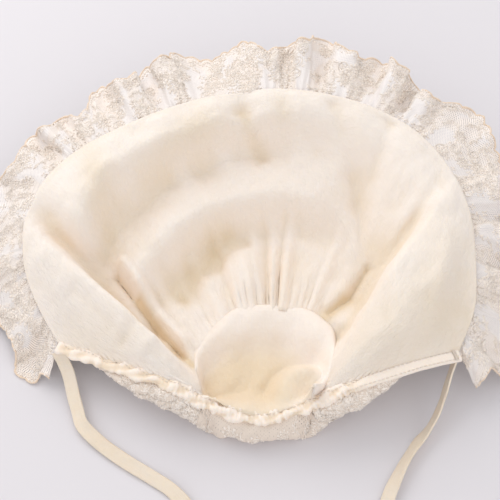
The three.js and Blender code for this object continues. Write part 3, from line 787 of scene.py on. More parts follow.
def stitched_object(name, cloth, petals, owners, stems, material, height):
    """Petals and stems on a cloth, as closed lenses and four-sided rods."""
    lenses, lens_uvs = petal_lenses(cloth, petals, owners, height)
    points, uvs, faces = [lenses], [lens_uvs], lens_faces(len(petals))
    start = len(lenses)
    for line, middle in stems:
        spots, uv = stem_rows(cloth, line, middle, height)
        points.append(spots)
        uvs.append(uv)
        i, k = np.meshgrid(np.arange(len(line) - 1), np.arange(4), indexing="ij")
        a = start + (i * 4 + k).ravel()
        b = start + (i * 4 + (k + 1) % 4).ravel()
        end = start + (len(line) - 1) * 4
        faces.append(np.stack([a, b, b + 4, a + 4], axis=-1))
        faces.append(np.array([[start, start + 3, start + 2, start + 1]]))
        faces.append(np.array([[end, end + 1, end + 2, end + 3]]))
        start += len(spots)
    return mesh_object(name, np.concatenate(points), faces, material, np.concatenate(uvs))


def placed(piece, slot, *nodes):
    """The piece, tied to the frame's body, in place of the nodes that it dresses. Its slot is not used.
    """
    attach(piece, BODY)
    if nodes:
        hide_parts(*nodes)
    return piece


# Materials


class Graph:
    """A short way to add and join the nodes of a material or a node group."""

    def __init__(self, tree):
        self.tree = tree

    def add(self, kind, inputs=None, **settings):
        """A node with its settings. Its inputs are values or the outputs of other nodes."""
        node = self.tree.nodes.new(kind)
        for name, value in settings.items():
            setattr(node, name, value)
        for name, value in (inputs or {}).items():
            if isinstance(value, bpy.types.NodeSocket):
                self.tree.links.new(value, node.inputs[name])
            else:
                node.inputs[name].default_value = value
        return node

    def math(self, operation, a, b=0.0, clamp=False):
        node = self.add("ShaderNodeMath", {0: a, 1: b}, operation=operation, use_clamp=clamp)
        return node.outputs[0]

    def mix(self, factor, a, b):
        node = self.add("ShaderNodeMix", {0: factor}, data_type="RGBA")
        for socket, value in ((node.inputs[6], a), (node.inputs[7], b)):
            if isinstance(value, bpy.types.NodeSocket):
                self.tree.links.new(value, socket)
            else:
                socket.default_value = value
        return node.outputs[2]

    def noise(self, vector, scale, detail=2.0, roughness=0.5):
        inputs = {"Vector": vector, "Scale": scale, "Detail": detail, "Roughness": roughness}
        return self.add("ShaderNodeTexNoise", inputs).outputs[0]

    def scaled(self, vector, x, y, z=1.0):
        return self.add("ShaderNodeMapping", {"Vector": vector, "Scale": (x, y, z)}).outputs[0]

    def remap(self, value, low, high, to_low=0.0, to_high=1.0):
        return self.add(
            "ShaderNodeMapRange",
            {"Value": value, "From Min": low, "From Max": high, "To Min": to_low, "To Max": to_high},
        ).outputs[0]


def new_group(name, inputs, outputs):
    """An empty node group with its sockets, and a graph to fill it with."""
    group = bpy.data.node_groups.new(name, "ShaderNodeTree")
    for label, kind, default in inputs:
        socket = group.interface.new_socket(name=label, in_out="INPUT", socket_type=kind)
        socket.default_value = default
    for label, kind in outputs:
        group.interface.new_socket(name=label, in_out="OUTPUT", socket_type=kind)
    graph = Graph(group)
    source = graph.add("NodeGroupInput").outputs
    target = graph.add("NodeGroupOutput").inputs
    return group, graph, source, target


def weave_group():
    """Plain weave with uneven threads. Height is the threads' relief and Slubs the thicker ones."""
    group = bpy.data.node_groups.get("Plain weave")
    if group:
        return group
    group, graph, given, out = new_group(
        "Plain weave",
        [("Threads per mm", "NodeSocketFloat", 2.2)],
        [("Height", "NodeSocketFloat"), ("Slubs", "NodeSocketFloat")],
    )
    cloth = graph.add("ShaderNodeUVMap", uv_map="Cloth").outputs[0]
    split = graph.add("ShaderNodeSeparateXYZ", {0: cloth})
    wobble = graph.noise(graph.scaled(cloth, 0.3, 0.3), 1.0, 1.0)
    drift = graph.math("MULTIPLY", graph.math("SUBTRACT", wobble, 0.5), 1.2)
    turns = graph.math("MULTIPLY", given[0], 2 * math.pi)
    warp = graph.math("SINE", graph.math("MULTIPLY", graph.math("ADD", split.outputs[0], drift), turns))
    weft = graph.math("SINE", graph.math("MULTIPLY", graph.math("ADD", split.outputs[1], drift), turns))
    crossing = graph.math("MULTIPLY", warp, weft)
    along = graph.noise(graph.scaled(cloth, 0.07, 1.9), 1.0, 2.0)
    across = graph.noise(graph.scaled(cloth, 1.9, 0.07), 1.0, 2.0)
    thick = graph.math("MAXIMUM", graph.remap(along, 0.5, 0.78), graph.remap(across, 0.52, 0.8))
    height = graph.math("ADD", graph.math("MULTIPLY", crossing, 0.5), graph.math("MULTIPLY", thick, 1.4))
    graph.tree.links.new(height, out["Height"])
    graph.tree.links.new(thick, out["Slubs"])
    return group


def crumple_group():
    """Small soft creases, in millimetres: some a few millimetres across, and finer ones."""
    group = bpy.data.node_groups.get("Small creases")
    if group:
        return group
    group, graph, given, out = new_group(
        "Small creases",
        [("Broad mm", "NodeSocketFloat", 0.22), ("Fine mm", "NodeSocketFloat", 0.07)],
        [("Height", "NodeSocketFloat")],
    )
    cloth = graph.add("ShaderNodeUVMap", uv_map="Cloth").outputs[0]
    broad = graph.noise(graph.scaled(cloth, 0.15, 0.11), 1.0, 3.0, 0.55)
    ridges = graph.math("ABSOLUTE", graph.math("SUBTRACT", broad, 0.5))
    fine = graph.noise(graph.scaled(cloth, 0.55, 0.45), 1.0, 2.0, 0.5)
    height = graph.math("MULTIPLY", graph.math("MULTIPLY", ridges, -4.0), given[0])
    fine = graph.math("MULTIPLY", graph.math("MULTIPLY", fine, 2.0), given[1])
    height = graph.math("ADD", height, fine)
    graph.tree.links.new(height, out["Height"])
    return group


def net_group():
    """A net of fine six-sided holes. Cover is 1 on the threads and 0 in the holes."""
    group = bpy.data.node_groups.get("Lace net")
    if group:
        return group
    group, graph, given, out = new_group(
        "Lace net",
        [("Hole size mm", "NodeSocketFloat", 0.9), ("Thread share", "NodeSocketFloat", 0.3)],
        [("Cover", "NodeSocketFloat")],
    )
    cloth = graph.add("ShaderNodeUVMap", uv_map="Cloth").outputs[0]
    split = graph.add("ShaderNodeSeparateXYZ", {0: cloth})
    turns = graph.math("DIVIDE", 2 * math.pi, given[0])
    waves = []
    for angle in (0.0, 60.0, 120.0):
        a = math.radians(angle)
        x = graph.math("MULTIPLY", split.outputs[0], math.cos(a))
        y = graph.math("MULTIPLY", split.outputs[1], math.sin(a))
        waves.append(graph.math("COSINE", graph.math("MULTIPLY", graph.math("ADD", x, y), turns)))
    holes = graph.math("ADD", graph.math("ADD", waves[0], waves[1]), waves[2])
    level = graph.remap(given[1], 0.0, 1.0, -1.5, 3.0)
    cover = graph.math("SUBTRACT", level, holes)
    cover = graph.math("ADD", graph.math("MULTIPLY", cover, 1.2), 0.5, clamp=True)
    graph.tree.links.new(cover, out["Cover"])
    return group


def age_group():
    """Soft uneven yellowing, and painted shade in the folds and hollows that the points' shade mark
    gives, both mixed towards the aged colour.
    """
    group = bpy.data.node_groups.get("Soft age and painted shade")
    if group:
        return group
    group, graph, given, out = new_group(
        "Soft age and painted shade",
        [
            ("Clean", "NodeSocketColor", (1, 1, 1, 1)),
            ("Aged and shaded", "NodeSocketColor", (1, 1, 1, 1)),
            ("Amount", "NodeSocketFloat", 0.4),
        ],
        [("Color", "NodeSocketColor"), ("Patches", "NodeSocketFloat")],
    )
    cloth = graph.add("ShaderNodeUVMap", uv_map="Cloth").outputs[0]
    broad = graph.noise(cloth, 0.03, 3.0, 0.6)
    small = graph.noise(cloth, 0.35, 3.0, 0.6)
    painted_shade = graph.add("ShaderNodeAttribute", attribute_name="Painted shade").outputs["Fac"]
    broad = graph.remap(broad, 0.35, 0.7, 0.0, 0.6)
    small = graph.remap(small, 0.3, 0.8, 0.0, 0.4)
    patches = graph.math("ADD", broad, small)
    # The random yellowing plus the painted shade of the folds and hollows
    stain_and_shade = graph.math("ADD", graph.math("MULTIPLY", patches, given["Amount"]), painted_shade, clamp=True)
    graph.tree.links.new(graph.mix(stain_and_shade, given["Clean"], given["Aged and shaded"]), out["Color"])
    graph.tree.links.new(patches, out["Patches"])
    return group


def shader(name, roughness, sheen, glow=0.0):
    """A new material with its graph and its shader, or one made before with neither."""
    material = bpy.data.materials.get(name)
    if material:
        return material, None, None
    material = bpy.data.materials.new(name)
    material.use_nodes = True
    graph = Graph(material.node_tree)
    surface = material.node_tree.nodes["Principled BSDF"]
    surface.inputs["Roughness"].default_value = roughness
    surface.inputs["Specular IOR Level"].default_value = 0.25
    surface.inputs["Sheen Weight"].default_value = sheen
    surface.inputs["Sheen Roughness"].default_value = 0.5
    surface.inputs["Subsurface Weight"].default_value = glow
    surface.inputs["Subsurface Radius"].default_value = (1.0, 0.8, 0.6)
    surface.inputs["Subsurface Scale"].default_value = 0.0025
    return material, graph, surface


def cotton_material(name, clean, aged_and_shaded, amount, relief, threads, crumple):
    """Woven cotton that has yellowed, with painted shade in its folds and hollows, and small creases.
    Relief and crumple are in millimetres.
    """
    material, graph, surface = shader(name, 0.9, 0.12, 0.22)
    if graph is None:
        return material
    weave = graph.add("ShaderNodeGroup", {"Threads per mm": threads}, node_tree=weave_group())
    stains_and_shade = {"Clean": (*clean, 1), "Aged and shaded": (*aged_and_shaded, 1), "Amount": amount}
    age = graph.add("ShaderNodeGroup", stains_and_shade, node_tree=age_group())
    slubs = graph.math("MULTIPLY", weave.outputs["Slubs"], 0.18)
    shade = graph.mix(slubs, age.outputs["Color"], (*(c * 0.86 for c in clean), 1))
    graph.tree.links.new(shade, surface.inputs["Base Color"])
    rough = graph.remap(age.outputs["Patches"], 0.0, 1.0, 0.84, 0.96)
    graph.tree.links.new(rough, surface.inputs["Roughness"])
    amounts = {"Broad mm": crumple, "Fine mm": 0.35 * crumple}
    creases = graph.add("ShaderNodeGroup", amounts, node_tree=crumple_group())
    threads_relief = graph.math("MULTIPLY", weave.outputs["Height"], relief)
    height = graph.math("ADD", threads_relief, creases.outputs["Height"])
    bump = graph.add("ShaderNodeBump", {"Height": height, "Strength": 1.0, "Distance": 0.001})
    graph.tree.links.new(bump.outputs[0], surface.inputs["Normal"])
    return material


def lace_material(name, net, fill, sheer, dense):
    """Net that fills up to closed cloth where the Dense mark says that it is embroidered."""
    material, graph, surface = shader(name, 0.85, 0.15)
    if graph is None:
        return material
    mesh = {"Hole size mm": 0.9, "Thread share": sheer}
    holes = graph.add("ShaderNodeGroup", mesh, node_tree=net_group())
    mark = graph.add("ShaderNodeAttribute", attribute_name="Dense").outputs["Fac"]
    cloth = graph.add("ShaderNodeUVMap", uv_map="Cloth").outputs[0]
    fray = graph.noise(cloth, 0.8, 2.0)
    patch = graph.noise(cloth, 0.33, 3.0, 0.65)
    full = graph.remap(graph.math("ADD", mark, graph.math("MULTIPLY", patch, 1.3)), 0.95, 1.5)
    full = graph.math("MULTIPLY", full, graph.remap(fray, 0.3, 0.6, 0.6, 1.0))
    full = graph.math("MULTIPLY", full, dense)
    cover = graph.math("MAXIMUM", holes.outputs["Cover"], full)
    graph.tree.links.new(cover, surface.inputs["Alpha"])
    graph.tree.links.new(graph.mix(full, (*net, 1), (*fill, 1)), surface.inputs["Base Color"])
    relief = {"Height": holes.outputs["Cover"], "Strength": 0.3, "Distance": 0.0001}
    bump = graph.add("ShaderNodeBump", relief)
    graph.tree.links.new(bump.outputs[0], surface.inputs["Normal"])
    return material


def thread_material(name, light, dark, pitch):
    """Satin stitches: fine ribs along the thread, with a painted highlight on their crowns and painted
    shade between them, and uneven patches of tone.
    """
    material, graph, surface = shader(name, 0.6, 0.2)
    if graph is None:
        return material
    cloth = graph.add("ShaderNodeUVMap", uv_map="Cloth").outputs[0]
    split = graph.add("ShaderNodeSeparateXYZ", {0: cloth})
    ribs = graph.math("SINE", graph.math("MULTIPLY", split.outputs[0], 2 * math.pi / pitch))
    patches = graph.noise(cloth, 0.25, 2.0)
    # Painted highlight on the ribs' crowns and painted shade in their troughs; the noise patches are
    # uneven tone
    crown_highlight = graph.remap(ribs, -1.0, 1.0, 0.0, 0.35)
    highlight_and_patches = graph.math("ADD", crown_highlight, graph.remap(patches, 0.3, 0.7, 0.0, 0.65), clamp=True)
    graph.tree.links.new(graph.mix(highlight_and_patches, (*dark, 1), (*light, 1)), surface.inputs["Base Color"])
    bump = graph.add("ShaderNodeBump", {"Height": ribs, "Strength": 0.5, "Distance": 0.0001})
    graph.tree.links.new(bump.outputs[0], surface.inputs["Normal"])
    return material


def cream_lawn(colours):
    """The lining's and the casing's cotton."""
    cotton, aged_and_shaded = tuple(colours.cotton), tuple(colours.aged_and_shaded)
    return cotton_material("Cream lawn", cotton, aged_and_shaded, 0.14, 0.025, 2.2, 0.28)


def satin_stitch(colours):
    """The thread of the flowers. Its darker tone, part of the way to the edge cord's colour, gives the
    painted shade between the ribs and the darker patches.
    """
    light = tuple(colours.thread)
    dark = tuple(0.6 * a + 0.4 * b for a, b in zip(light, colours.cord))
    return thread_material("Satin stitch", light, dark, 0.5)


# What a user would change


def size_property(name, description, default, low, high):
    """A size in millimetres."""
    description = f"{description} in millimetres"
    return FloatProperty(name=name, description=description, default=default, min=low, max=high)


def count_property(name, description, default, low, high):
    """A whole number of things."""
    return IntProperty(name=name, description=description, default=default, min=low, max=high)


def colour_property(name, description, default):
    """A colour that the panel shows as a swatch."""
    return FloatVectorProperty(
        name=name, description=description, subtype="COLOR", size=3, default=default, min=0, max=1
    )


class BonnetSizes(bpy.types.PropertyGroup):
    """Sizes of the cloth, lace and thread, in millimetres, and how many gathers and flutes"""

    cloth: size_property("Cloth", "Thickness of the cloth", 0.6, 0.2, 1.5)
    wrinkle: size_property("Wrinkles", "Height of the soft creases", 0.85, 0, 2)
    gathers: count_property("Gathers", "Creases drawn into the back seam", 10, 2, 40)
    gather_height: size_property("Gather height", "Height of those creases", 2.2, 0, 4)
    pucker: size_property("Puckers", "Depth of the neck edge's puckers", 0.8, 0, 2)
    flutes: count_property("Flutes", "Flutes of the lace ruffle", 17, 6, 60)
    flute_height: size_property("Flute height", "Height of a flute", 6.0, 0, 12)
    ruffle_width: size_property("Ruffle width", "Width of the ruffle", 31.0, 8, 60)
    scallop: size_property("Scallop", "Length of one scallop", 8.0, 3, 20)
    tie_width: size_property("Tie width", "Width of a tie", 7.0, 3, 15)


class BonnetColours(bpy.types.PropertyGroup):
    """Colours of the cloth, lace and thread"""

    cotton: colour_property("Cotton", "Clean cotton", (0.955, 0.845, 0.75))
    # The aged colour is also the colour of the painted shade in the folds and hollows
    aged_and_shaded: colour_property("Aged cotton", "Cotton in the folds", (0.8, 0.64, 0.45))
    tape: colour_property("Tape", "The ties", (0.86, 0.745, 0.62))
    net: colour_property("Net", "The lace's open net", (0.96, 0.9, 0.86))
    fill: colour_property("Lace filling", "The lace's closed parts", (0.92, 0.8, 0.69))
    thread: colour_property("Embroidery", "Embroidery thread", (1.0, 0.93, 0.86))
    cord: colour_property("Edge cord", "The scalloped edge's cord", (0.78, 0.63, 0.49))


def settings(context):
    """The sizes and colours that the scene holds."""
    return context.scene.bonnet_sizes, context.scene.bonnet_colours


class BONNET_OT_stage(bpy.types.Operator):
    """Adds the camera, the pale floor and the soft light"""

    bl_idname = "bonnet.stage"
    bl_label = "Stage"
    bl_options = {"REGISTER", "UNDO"}

    def execute(self, context):
        scene = context.scene
        lens = bpy.data.cameras.new("Camera")
        lens.lens = CAMERA_LENS
        lens.sensor_width = 36
        camera = bpy.data.objects.new("Camera", lens)
        scene.collection.objects.link(camera)
        away = Vector((0, -math.cos(CAMERA_RISE), math.sin(CAMERA_RISE)))
        camera.location = CAMERA_AIM + CAMERA_DISTANCE * away
        camera.rotation_euler = (CAMERA_AIM - camera.location).to_track_quat("-Z", "Y").to_euler()
        scene.camera = camera
        material, _, surface = shader("Pale table", 0.75, 0.0)
        surface.inputs["Base Color"].default_value = FLOOR_COLOUR
        ways = ((-1, -1), (1, -1), (1, 1), (-1, 1))
        corners = np.array([(x * FLOOR_REACH, y * FLOOR_REACH, 0) for x, y in ways])
        mesh_object("Table", corners, [[(0, 1, 2, 3)]], material)
        for name, (place, size, power, colour) in LIGHTS.items():
            lamp = bpy.data.lights.new(name, "AREA")
            lamp.size, lamp.energy, lamp.color = size, power, colour
            item = bpy.data.objects.new(name, lamp)
            item.location = place
            middle = Vector((0, 0.05, 0))
            item.rotation_euler = (middle - item.location).to_track_quat("-Z", "Y").to_euler()
            scene.collection.objects.link(item)
        world = bpy.data.worlds.new("Room")
        world.use_nodes = True
        back = world.node_tree.nodes["Background"]
        back.inputs["Color"].default_value = ROOM_COLOUR
        back.inputs["Strength"].default_value = ROOM_STRENGTH
        scene.world = world
        scene.view_settings.view_transform = "Standard"
        return {"FINISHED"}


# One face of a tie's section: shares of its half width, and heights in millimetres
TAPE_FACE = (
    (-1, 0.0),
    (-0.94, 0.42),
    (-0.8, 0.55),
    (-0.45, 0.42),
    (0, 0.36),
    (0.45, 0.42),
    (0.8, 0.6),
    (0.94, 0.45),
)


def tape_rings(route, width, stations):
    """Rings of a flat folded tape along a route, and their centres."""
    route = np.array(route, float)
    points, turns = route[:, :3], route[:, 3]
    knots = np.concatenate([[0], np.cumsum(np.linalg.norm(np.diff(points, axis=0), axis=1) ** 0.5)])
    shares = np.linspace(0, 1, stations)
    at = np.interp(shares, np.linspace(0, 1, len(points)), knots)
    centres = np.stack([spline(knots, points[:, k], at) for k in range(3)], axis=-1)
    tangent = unit(np.gradient(centres, axis=0))
    across = unit(np.cross(tangent, (0, 0, 1.0)))
    turn = np.radians(eased(np.linspace(0, 1, len(turns)), turns, shares))[:, None]
    across = across * np.cos(turn) + np.cross(tangent, across) * np.sin(turn)
    lift = unit(np.cross(across, tangent))
    outline = [(x * width / 2, z) for x, z in TAPE_FACE]
    outline += [(-x, -0.85 * z) for x, z in outline]
    run = arc_lengths(centres)[:, None]
    rings = []
    for k, (x, z) in enumerate(outline):
        slack = 0.16 * np.sin(run / 5.1 + k) + 0.1 * np.sin(run / 2.3 + 2 * k)
        pull = 1 + 0.03 * np.sin(run / 9.0 + 1.0)
        rings.append(centres + across * (x * pull) + lift * (z + slack * (0.5 + abs(x) / width)))
    return centres, np.stack(rings, axis=1)


class BONNET_OT_ties(bpy.types.Operator):
    """Adds the two flat cotton ties that come out of the casing's ends"""

    bl_idname = "bonnet.ties"
    bl_label = "Ties"
    bl_options = {"REGISTER", "UNDO"}

    def execute(self, context):
        sizes, colours = settings(context)
        tape, aged_and_shaded = tuple(colours.tape), tuple(colours.aged_and_shaded)
        material = cotton_material("Cotton tape", tape, aged_and_shaded, 0.5, 0.05, 1.6, 0.12)
        for name, (route, length) in TIES.items():
            centres, rings = tape_rings(route, sizes.tie_width, 150)
            rings[..., 2] = np.maximum(rings[..., 2], 0.15)
            piece = tube_object(f"{name}_tape", centres, rings, material, 2 * sizes.tie_width)
            placed(piece, "tape", name)
        return {"FINISHED"}


def crown_grid(cuts, sizes, slack=0.0):
    """The crown's middle surface, closer cut at its creases, with its cloth lengths."""
    even = np.linspace(0, 1, cuts[0])
    u = even - 0.07 * np.sin(2 * math.pi * even)
    v = np.linspace(0, 1, cuts[1])
    run, depth = np.meshgrid(CROWN_CLOTH[0] * u, CROWN_CLOTH[1] * v, indexing="ij")
    return u, v, crown(u, v, sizes, 1.0, slack), np.stack([run, depth], axis=-1)


def reached(grid, last, inner, by):
    """The grid's last row or column, pushed on in the direction that it runs in."""
    return grid[last] + unit(grid[last] - grid[inner]) * by


def neck_puckers(grid, u, v, amount):
    """Draws the cloth into small puckers along the neck edge, at both ends of u."""
    up = grid_normals(grid)
    run = arc_lengths(grid)
    left = np.sin(run / 0.78 + 1.6 * np.sin(run / 5.0)) * (1 - ramp(0.0, 0.022, u))[:, None]
    left = left * ramp(0.1, 0.22, v)[None, :] * 0.4
    right = np.sin(run / 0.7 + 1.8 * np.sin(run / 4.3 + 1)) * ramp(0.98, 1.0, u)[:, None]
    right = right * ramp(0.42, 0.56, v)[None, :] * 0.4
    return grid + up * (amount * (left + right))[..., None]


def hollow_shade_mark(grid):
    """How far each point lies in a hollow of its own cloth, 0 to 1, which sets the painted shade in the
    hollows.
    """
    height = grid[..., 2]
    blurred = height.copy()
    for _ in range(60):
        padded = np.pad(blurred, 1, mode="edge")
        blurred = (padded[:-2, 1:-1] + padded[2:, 1:-1] + padded[1:-1, :-2] + padded[1:-1, 2:]) / 4
    return np.clip((blurred - height) / 3.0, 0, 1)


def panel_lining(s, t, sizes):
    """The back panel's lining, with a soft roll below its seam. Its edges reach under the crown's
    lining and the casing."""
    panel = back_panel(s, t, LOBE["height"])
    sides = ramp(0.22, 0.42, s) * (1 - ramp(0.72, 0.88, s))
    lobes = 3.6 - 2.2 * np.exp(-(((s - 0.56) / 0.06) ** 2))
    panel[..., 2] += (1 - ramp(0.16, 0.42, t))[None, :] * (sides * lobes)[:, None]
    calm = ramp(0, 0.1, t)[None, :] * (ramp(0, 0.08, s) * (1 - ramp(0.92, 1, s)))[:, None]
    panel[..., 2] += calm * sizes.wrinkle * (0.6 + ripples(panel[..., 0], panel[..., 1], 16, 21))
    panel[..., 2] = np.maximum(panel[..., 2], TABLE)
    outward = unit(panel[:, 0] - panel[:, 3])
    for k, reach, drop in ((0, 2.2, 1.6), (1, 1.8, 0.6), (2, 0.9, 0)):
        panel[:, k] += outward * reach - (0, 0, drop)
    panel[:, -1] = reached(panel, np.s_[:, -1], np.s_[:, -4], 1.8) - (0, 0, 0.3)
    for last, inner in ((0, 3), (-1, -4)):
        panel[last] = reached(panel, last, inner, 1.4) - (0, 0, 1.1)
    return panel


def welt_rings():
    """The sewn welt along the top of the back seam: its centres and its rings."""
    line = along_line(back_seam(np.linspace(0, 1, 400)), np.linspace(0.27, 0.7, 420))
    run = arc_lengths(line)[:, None]
    side = unit(np.cross(unit(np.gradient(line, axis=0)), (0, 0, 1.0)))
    angle = np.linspace(0, 2 * math.pi, 10, endpoint=False)[None, :]
    swell = 1 + 0.22 * np.sin(run / 0.7 + 2 * np.sin(run / 3.1))
    swell = swell + 0.15 * ripples(run, 2 * angle, 3.0, 71)
    centres = line + (0, 0, -0.1) + side * 0.1
    rings = centres[:, None, :] + side[:, None, :] * (1.2 * swell * np.cos(angle))[..., None]
    rings[..., 2] += 0.7 * swell * np.sin(angle)
    rings[..., 2] = np.maximum(rings[..., 2], 0.3)
    return centres, rings[:, ::-1]


class BONNET_OT_lining(bpy.types.Operator):
    """Adds the crown's plain lining and the back panel's, with their folds and gathers"""

    bl_idname = "bonnet.lining"
    bl_label = "Lining"
    bl_options = {"REGISTER", "UNDO"}

    def execute(self, context):
        sizes, colours = settings(context)
        material = cream_lawn(colours)
        u, v, grid, uv = crown_grid(LINING_CUTS, sizes, 1.0)
        grid = neck_puckers(grid, u, v, sizes.pucker)
        grid[:, -1] = reached(grid, np.s_[:, -1], np.s_[:, -4], 1.3)
        # Painted shade: the cloth's hollows and the crown's dark valleys, creases and shaded cheeks take
        # on the darker, yellower colour
        painted_shade = 0.5 * hollow_shade_mark(grid)
        for line, amount, width in PAINTED_SHADE_LINES:
            away = line_distance(grid[..., 0], grid[..., 1], line) / width
            painted_shade += amount * np.exp(-(away**2))
        self.cloth("crown_lining", grid, uv, painted_shade, sizes, material)
        s, t = (np.linspace(0, 1, cuts) for cuts in PANEL_CUTS)
        panel = panel_lining(s, t, sizes)
        # Painted shade over the back panel: darker in its middle, less near the neck edge and less
        # towards its lit right end
        painted_shade = 0.85 * ramp(0.12, 0.5, t)[None, :] - 0.2 * ramp(0.8, 1.0, t)[None, :]
        painted_shade = painted_shade - 0.35 * ramp(4, 22, panel[..., 0])
        self.cloth("back_lining", panel, panel[..., :2], painted_shade, sizes, material)
        centres, rings = welt_rings()
        placed(tube_object("back_seam_welt", centres, rings, material, 6.0), "lining")
        return {"FINISHED"}

    def cloth(self, node, grid, uv, painted_shade, sizes, material):
        """Adds one lining on its middle surface, with its mark of painted shade."""
        up = grid_normals(grid)
        over, under = grid + up * (LINING_LIFT + sizes.cloth), grid + up * LINING_LIFT
        piece = wall_object(f"{node}_cloth", over, under, material, uv, {"Painted shade": painted_shade})
        placed(piece, "lining", node)


def shell_density(x, y):
    """How closely the shell is embroidered at each place of its pattern."""
    return 0.8 + 0.4 * ripples(x, y, 30, 31)


def crumpled(surface, uv, seed):
    """The shell's surface below the middle one, with lumps and drawn folds near the neck edge, and
    its normals."""
    up = grid_normals(surface)
    x, y = surface[..., 0], surface[..., 1] + surface[..., 2]
    near = np.exp(-np.maximum(0, surface[..., 1] - neck_back(surface[..., 0]) - 4) / 14)
    lumps = 0.7 * ripples(x, y, 8, seed + 4) + 0.9 * ripples(x, y, 11, seed + 6, 3.0, 1.2)
    lumps = 0.7 * near * lumps + 0.45 * ripples(uv[..., 0], uv[..., 1], 9, seed)
    surface = surface + up * (np.minimum(0.5, lumps) - 0.35 * near)[..., None]
    up = grid_normals(surface)
    return surface - up * 0.85, up


class BONNET_OT_shell(bpy.types.Operator):
    """Adds the embroidered outside of the crown and of the back panel"""

    bl_idname = "bonnet.shell"
    bl_label = "Outer shell"
    bl_options = {"REGISTER", "UNDO"}

    def execute(self, context):
        sizes, colours = settings(context)
        # Darker copies of the lace filling for the shell's net and filling: painted shade for the shell,
        # which lies low round the neck edge
        net, fill = (tuple(share * c for c in colours.fill) for share in (0.84, 0.88))
        material = lace_material("Embroidered net", net, fill, 0.85, 1.0)
        thread = satin_stitch(colours)
        _, _, grid, uv = crown_grid(SHELL_CUTS, sizes)
        panel = back_panel(*(np.linspace(0, 1, cuts) for cuts in PANEL_CUTS), 0.0)
        for last, inner, reach in ((0, 3, 1.5), (-1, -4, 0)):
            panel[last] = reached(panel, last, inner, 2.4)
            panel[:, last] = reached(panel, np.s_[:, last], np.s_[:, inner], reach)
        panel = puffed(panel)
        for node, surface, cloth_uv, size, pitch, seed in (
            ("crown_shell", puffed(grid), uv, CROWN_CLOTH, 10.4, 33),
            ("back_shell", panel, panel[..., :2] + 40, PANEL_CLOTH, 9.0, 35),
        ):
            under, up = crumpled(surface, cloth_uv, seed)
            dense = ramp(0.3, 0.7, shell_density(cloth_uv[..., 0], cloth_uv[..., 1]))
            over, low = under + up * 0.15, under - up * 0.15
            piece = wall_object(f"{node}_cloth", over, low, material, cloth_uv, {"Dense": dense})
            placed(piece, "lace_cloth", node)
            motifs = scattered(*size, pitch, shell_density, seed, 4.0)
            name = f"{node}_embroidery"
            petals = embroidery_object(name, Cloth(under), motifs, size, thread, 0.9)
            placed(petals, "lace_cloth")
        return {"FINISHED"}


def neck_edge(sizes):
    """The whole neck edge, from the left tie's corner to the right one's."""
    v = np.linspace(0, 1, 120)
    left = crown(0.0, v, sizes, 0.0)[0]
    right = crown(1.0, v, sizes, 0.0)[0]
    middle = neck_line(120)[2:-2]
    return np.concatenate([left, middle, right[::-1]])


def casing_line(sizes, shares):
    """The line that the casing is sewn along, evened out."""
    line = along_line(neck_edge(sizes), shares)
    for _ in range(12):
        line[1:-1] = (line[:-2] + 2 * line[1:-1] + line[2:]) / 4
    return line


def casing_swell(run, angle, shares, ruched):
    """How far the drawn cloth stands out round the casing: pleats, lumps and broad bulges."""
    skew = 0.9 * np.sin(angle + run / 11.0)
    pleats = np.sin(run / 0.8 + 2.2 * np.sin(run / 4.7) + 0.4 * skew)
    pleats = pleats * (0.35 + 0.65 * ramp(-0.4, 0.6, ripples(run, 0 * run, 11, 43)))
    lumps = ripples(run + 0.4 * skew, 5 * np.cos(angle) + 0 * run, 6.4, 41)
    bulge = ripples(run, 0 * run, 19, 47)
    small = ripples(run + 0 * angle, 3 * np.cos(angle) + 0 * run, 2.3, 45)
    small = small * ramp(0.2, 0.34, shares)[:, None]
    drawn = 0.3 * small + 0.22 * pleats * (0.7 + 0.3 * np.cos(angle)) + 0.62 * lumps + 0.45 * bulge
    return ruched * drawn + 0.05 * lumps


def blunted(wave, share):
    """A sine with fuller crests."""
    return np.sign(wave) * abs(wave) ** (1 - share)


